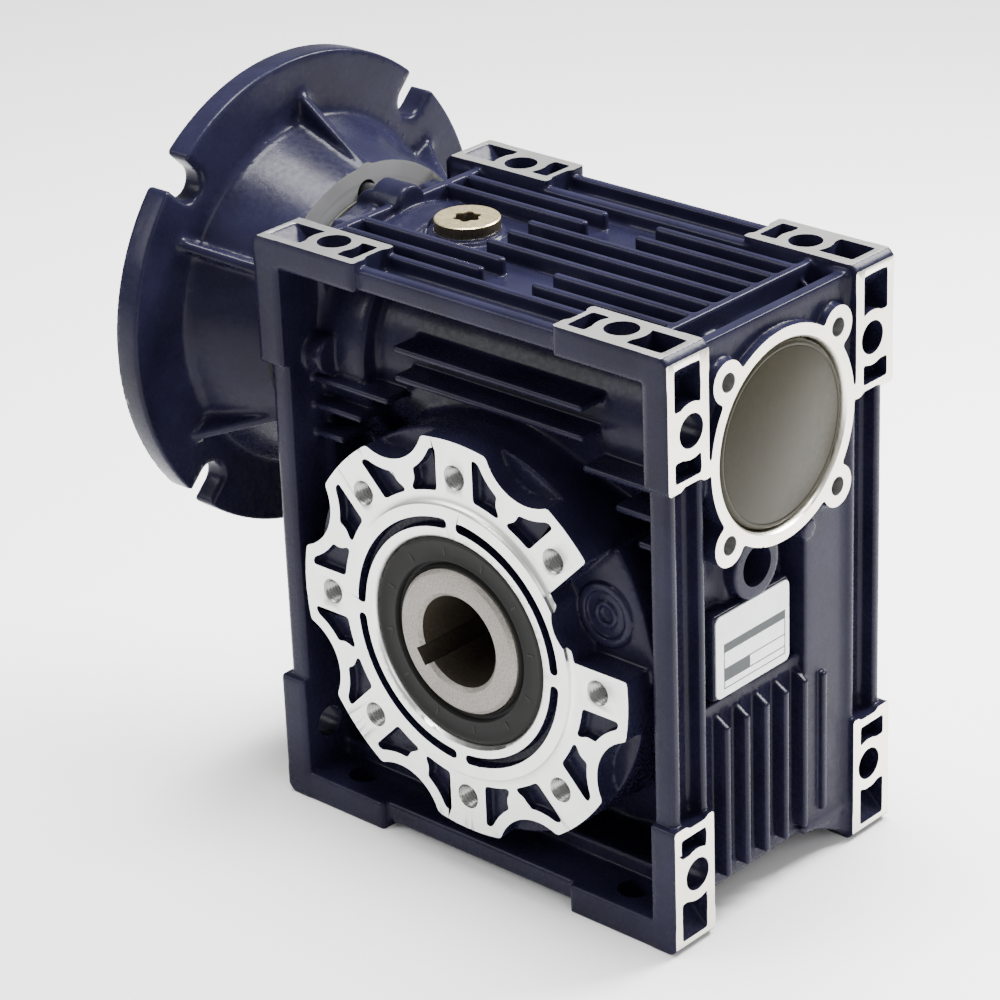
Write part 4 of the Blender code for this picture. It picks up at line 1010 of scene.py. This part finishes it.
def flange_slot(degrees):
    """An open slot for a motor bolt."""
    def distance(x, y, z):
        out, across = around_worm(y, z, degrees)
        return np.sqrt(np.maximum(FLANGE_BOLTS - out, 0.0) ** 2 + across ** 2) - 5.7 + 0.0 * x

    u, v = polar(FLANGE_BOLTS + 3, degrees)
    return Shape(distance, (FLANGE_FACE - 4, u - 13, v - 13 + WORM_Z),
                 (FLANGE_BACK + 4, u + 13, v + 13 + WORM_Z))


def input_flange():
    reach = FLANGE_RADIUS
    c = Casting((FLANGE_FACE - 2, -reach, WORM_Z - reach), (-83.5, reach, WORM_Z + reach), VOXEL)
    axis = (0.0, WORM_Z)
    c.add(bar("x", FLANGE_RADIUS, FLANGE_FACE - 0.6, FLANGE_BACK, axis, 1.1))
    c.add(bar("x", 61.7, FLANGE_BACK - 4, FLANGE_NECK + STOCK, axis, 1.0, 50.0), 3.0)
    for k in range(6):
        c.add(flange_rib(30 + 60 * k), 2.6)
    for k in range(4):
        c.cut(flange_slot(45 + 90 * k), 2.6)
    c.cut(bar("x", 54.0, FLANGE_FACE - 8, FLANGE_NECK - 8.2, axis, 1.5, 46.6), 1.0)
    cuts = [
        (lathe("cut", [(0.0, -140.0), (100.0, -140.0), (100.0, FLANGE_FACE),
                       (FLANGE_RADIUS - 1.0, FLANGE_FACE), (58.0, FLANGE_FACE),
                       (57.15, FLANGE_FACE + 0.8), (57.15, FLANGE_FACE + 4.6),
                       (0.0, FLANGE_FACE + 4.6)], "x", axis, 160), FLANGE_FACED),
        (round_cut("x", 70.0, FLANGE_NECK, -70.0, axis, 128), SEAT),
        (round_cut("x", 26.0, -110.0, -60.0, axis, 96), BORED),
    ]
    for place in FLANGE_SCREW_PLACES:
        cuts.append((round_cut("x", 4.4, -110.0, -80.0, place, 32), SEAT))
    piece("motor_flange_casting", c.mesh("motor_flange_casting", ADAPTIVITY), NAVY, "casing",
          ["input_flange"], cuts, 48.0)
    ring = [(28.0, -91.4), (34.0, -91.4), (34.0, -85.0), (33.6, -84.8), (28.0, -84.8)]
    spigot = lathe("flange_spigot", ring, "x", axis, 96)
    piece("flange_spigot", spigot, BORED, "casing", ["flange_locating_ring"])
    sheet = [(34.5, -88.5), (40.0, -88.5), (40.0, -87.7), (34.5, -87.7)]
    gasket = lathe("flange_gasket_sheet", sheet, "x", axis, 96)
    piece("flange_gasket_sheet", gasket, FIBRE, "casing", ["flange_gasket"])


# ---------------------------------------------------------------- seals, caps, plugs and plate

def seal(name, sign, node):
    """A moulded oil seal: shoulder, recessed face with index ticks, groove and lip."""
    y = sign * 58.9
    back = sign * 51.0

    def at(depth):
        return y - sign * depth

    profile = [(36.0, back), (36.0, at(0.9)), (35.6, at(0.35)), (34.9, at(0.0)), (34.2, at(0.05)),
               (33.7, at(0.35)), (29.2, at(0.42)), (28.5, at(0.15)), (28.0, at(0.1)), (27.6, at(0.5)),
               (27.3, at(2.0)), (26.4, at(2.3)), (25.9, at(1.2)), (25.5, at(0.7)), (25.2, at(1.1)),
               (25.3, at(3.0)), (26.5, back)]
    piece(name, lathe(name, profile, "y", sides=160), RUBBER, "casing", [node], angle=35.0)
    ticks = bmesh.new()
    for k in range(12):
        turn = Matrix.Rotation(math.radians(-30 * k - 9), 4, "Y")
        mark = Matrix.Translation((31.0, at(0.38), 0.0)) @ Matrix.Diagonal((2.7, 0.30, 0.6, 1.0))
        bmesh.ops.create_cube(ticks, size=1.0, matrix=turn @ mark)
    piece(name + "_ticks", placed(ticks, name + "_ticks"), LIP, "casing")


def caps_and_plugs():
    seal("output_seal_ring_front", -1, "output_seal_front")
    seal("output_seal_ring_rear", 1, "output_seal_rear")
    worm = (0.0, WORM_Z)
    cap = [(0.0, 85.35), (28.2, 85.35), (28.5, 85.15), (28.8, 85.35), (29.5, 85.3), (30.2, 84.8),
           (30.6, 84.0), (30.7, 82.6), (30.7, 80.2), (0.0, 80.2)]
    piece("worm_cap_disc", lathe("worm_cap_disc", cap, "x", worm, 128), OLIVE, "casing",
          ["worm_end_cap"])
    plug = (FILLER_X, 0.0)
    body = [(0.0, 101.5), (7.9, 101.5), (7.9, 113.8), (10.9, 113.8), (11.0, 114.0), (11.0, 117.1),
            (0.0, 117.1)]
    top = [(0.0, 116.9), (10.95, 116.9), (10.95, 117.25), (10.6, 117.55), (0.0, 117.55)]
    socket = [polar_from(plug, 4.3 + 0.55 * math.cos(6 * math.radians(a)), a) for a in range(0, 360, 5)]
    # The plug's body, its side and socket, takes the dark copy of its zinc: painted shade.
    piece("fill_plug_body", lathe("fill_plug_body", body, "z", plug, 96), ZINC_PAINTED_SHADE, "casing",
          ["fill_plug"], [(prism_cut(socket, "z", 113.0, 120.0), ZINC_PAINTED_SHADE)])
    piece("fill_plug_top", lathe("fill_plug_top", top, "z", plug, 96), ZINC, "casing", (),
          [(prism_cut(socket, "z", 113.0, 120.0), ZINC)])
    washer = [(8.2, 113.0), (11.2, 113.0), (11.25, 113.2), (11.25, 113.55), (11.2, 113.7), (8.2, 113.7)]
    piece("fill_plug_ring", lathe("fill_plug_ring", washer, "z", plug, 64), STEEL, "casing",
          ["fill_plug_washer"])
    nameplate()


def polar_from(centre, radius, degrees):
    u, v = polar(radius, degrees)
    return centre[0] + u, centre[1] + v


def rounded_outline(y0, z0, y1, z1, radius, steps=6):
    points = []
    for y, z, start in ((y1 - radius, z1 - radius, 0), (y0 + radius, z1 - radius, 90),
                        (y0 + radius, z0 + radius, 180), (y1 - radius, z0 + radius, 270)):
        points += list(arc((y, z), radius, start, start + 90, steps))
    return points


def nameplate():
    """A blank rating plate: a silver sheet with a printed frame and empty fields."""
    y0, y1, z0, z1 = -28.9, 8.0, -7.1, 21.5
    front = 81.2
    sheet = prism_cut(rounded_outline(y0, z0, y1, z1, 2.2), "x", front, front + 0.55, "rating_plate")
    piece("rating_plate", sheet, SILVER, "casing", ["nameplate"])
    left, right = y0 + 4.2, y1 - 2.4
    middle = left + 0.42 * (right - left)
    fields = [(left, z0 + 15.3, right, z0 + 18.0), (left, z0 + 5.6, middle, z0 + 9.4),
              (left, z0 + 2.6, right, z0 + 3.0), (left, z0 + 18.0, right, z0 + 18.4),
              (left, z0 + 9.4, right, z0 + 9.8), (left, z0 + 5.2, right, z0 + 5.6),
              (left - 0.4, z0 + 2.6, left, z0 + 18.4), (right, z0 + 2.6, right + 0.4, z0 + 18.4)]
    printed = bmesh.new()
    for low_y, low_z, high_y, high_z in fields:
        centre = Vector((front + 0.55, (low_y + high_y) / 2, (low_z + high_z) / 2))
        size = (0.06, high_y - low_y, high_z - low_z, 1.0)
        bmesh.ops.create_cube(printed, size=1.0, matrix=Matrix.Translation(centre) @ Matrix.Diagonal(size))
    piece("rating_plate_fields", placed(printed, "rating_plate_fields"), PRINT, "casing")


def socket_screw(name, axis, seat, direction, across, head, height, node):
    """A socket head cap screw seen from its head: plain rim, chamfer and hexagon socket."""
    top = seat + direction * (height + 0.3)
    low = seat + direction * 0.3
    tip = seat - direction * 14.0
    shank = head * 0.6
    profile = [(0.0, tip), (shank, tip), (shank, low), (head - 0.2, low), (head, low + direction * 0.3),
               (head, top - direction * 0.6), (head - 0.6, top), (0.0, top)]
    hexagon = [polar_from(across, head * 0.58, 30 + 60 * k) for k in range(6)]
    socket = prism_cut(hexagon, axis, *sorted((top + direction, top - direction * height * 0.55)))
    piece(name, lathe(name, profile, axis, across, 48), BLACK, "casing", [node],
          [(socket, BLACK)])


def screws():
    for k, place in enumerate(COVER_SCREW_PLACES, 1):
        socket_screw(f"cover_bolt_{k}", "y", COVER_PLATE, 1, place, 5.0, 6.0, f"cover_screw_{k}")
    for k, place in enumerate(FLANGE_SCREW_PLACES, 1):
        socket_screw(f"flange_bolt_{k}", "x", FLANGE_NECK - 8.2, -1, place, 5.6, 7.5, f"flange_screw_{k}")


# ---------------------------------------------------------------- turning pieces

KEYWAY = 211.8


def output_hub():
    """The hollow output shaft with its keyway."""
    seat, end, shoulder, boss, bore = 25.0, 60.0, 33.7, 13.4, 15.875
    profile = [(bore, -end + 1.3), (bore + 1.2, -end + 0.12), (bore + 1.4, -end), (seat - 1.4, -end),
               (seat - 1.2, -end + 0.1), (seat, -end + 1.3), (seat, -shoulder), (28.6, -shoulder),
               (28.6, -boss), (47.7, -boss + 3.0), (47.7, boss - 3.0), (28.6, boss),
               (28.6, shoulder), (seat, shoulder),
               (seat, end - 1.3), (seat - 1.2, end - 0.1), (seat - 1.4, end), (bore + 1.4, end),
               (bore + 1.2, end - 0.12), (bore, end - 1.3)]
    key = [(12.0, -3.175), (18.9, -3.175), (18.9, 3.175), (12.0, 3.175)]
    turn = math.radians(KEYWAY)
    outline = [(u * math.cos(turn) - v * math.sin(turn), u * math.sin(turn) + v * math.cos(turn))
               for u, v in key]
    # The keyway and the bore take the dark brown: painted shade inside the shaft.
    cuts = [(prism_cut(outline, "y", -70.0, 70.0), BORE_PAINTED_SHADE),
            (round_cut("y", bore + 0.02, -58.6, 58.6, sides=160), BORE_PAINTED_SHADE)]
    piece("output_hub_shaft", lathe("output_hub_shaft", profile, "y", sides=160), HUB, "output",
          ["output_hub"], cuts, 30.0)


def finish_kept_nodes():
    """The hidden pieces that nothing replaces take finer materials and smooth shading."""
    looks = {"worm_shaft": STEEL, "worm_wheel_rim": BRONZE, "input_seal": RUBBER, "cover_o_ring": LIP,
             "worm_bearing_circlip": BLACK}
    for name, node in frame["nodes"].items():
        if node.hide_render:
            continue
        node.data.materials.clear()
        node.data.materials.append(looks.get(name, STEEL))
        node.data.shade_smooth()
        node.data.set_sharp_from_angle(angle=math.radians(38))


housing()
output_cover()
input_flange()
caps_and_plugs()
screws()
output_hub()
finish_kept_nodes()


# ---------------------------------------------------------------- camera, floor and lights

def stage():
    bpy.ops.mesh.primitive_plane_add(size=6.0, location=(0.0, 0.0, -0.0004))
    floor = bpy.context.object
    floor.name = "floor"
    made, _, _, shader = new_material("pale_floor")
    shader.inputs["Base Color"].default_value = (1.0, 1.0, 0.995, 1.0)
    shader.inputs["Roughness"].default_value = 0.75
    floor.data.materials.append(made)


def camera():
    data = bpy.data.cameras.new("camera")
    data.lens = 130.42
    data.sensor_width = 36.0
    made = bpy.data.objects.new("camera", data)
    made.location = (0.7316, -0.8050, 0.6217)
    made.rotation_euler = Euler([math.radians(a) for a in (64.743, 2.038, 41.845)])
    bpy.context.scene.collection.objects.link(made)
    bpy.context.scene.camera = made


def area_light(name, place, target, size, power):
    data = bpy.data.lights.new(name, "AREA")
    data.shape = "RECTANGLE"
    data.size, data.size_y = size
    data.energy = power
    made = bpy.data.objects.new(name, data)
    made.location = place
    direction = Vector(target) - Vector(place)
    made.rotation_euler = direction.to_track_quat("-Z", "Y").to_euler()
    bpy.context.scene.collection.objects.link(made)


def lights():
    world = bpy.data.worlds.new("studio")
    world.use_nodes = True
    world.node_tree.nodes["Background"].inputs["Color"].default_value = (1.0, 1.0, 1.0, 1.0)
    world.node_tree.nodes["Background"].inputs["Strength"].default_value = 0.55
    bpy.context.scene.world = world
    target = (0.0, 0.0, 0.12)
    area_light("overhead", (-0.1, 0.1, 1.4), target, (0.6, 0.6), 54.0)
    area_light("front_left", (-0.9, -1.2, 0.9), target, (0.7, 0.7), 12.0)
    area_light("right", (1.2, -0.5, 0.9), target, (0.6, 0.8), 6.0)
    area_light("behind", (0.22, 0.50, 0.65), (-0.1, 0.0, 0.2), (0.3, 0.3), 16.0)


stage()
camera()
lights()
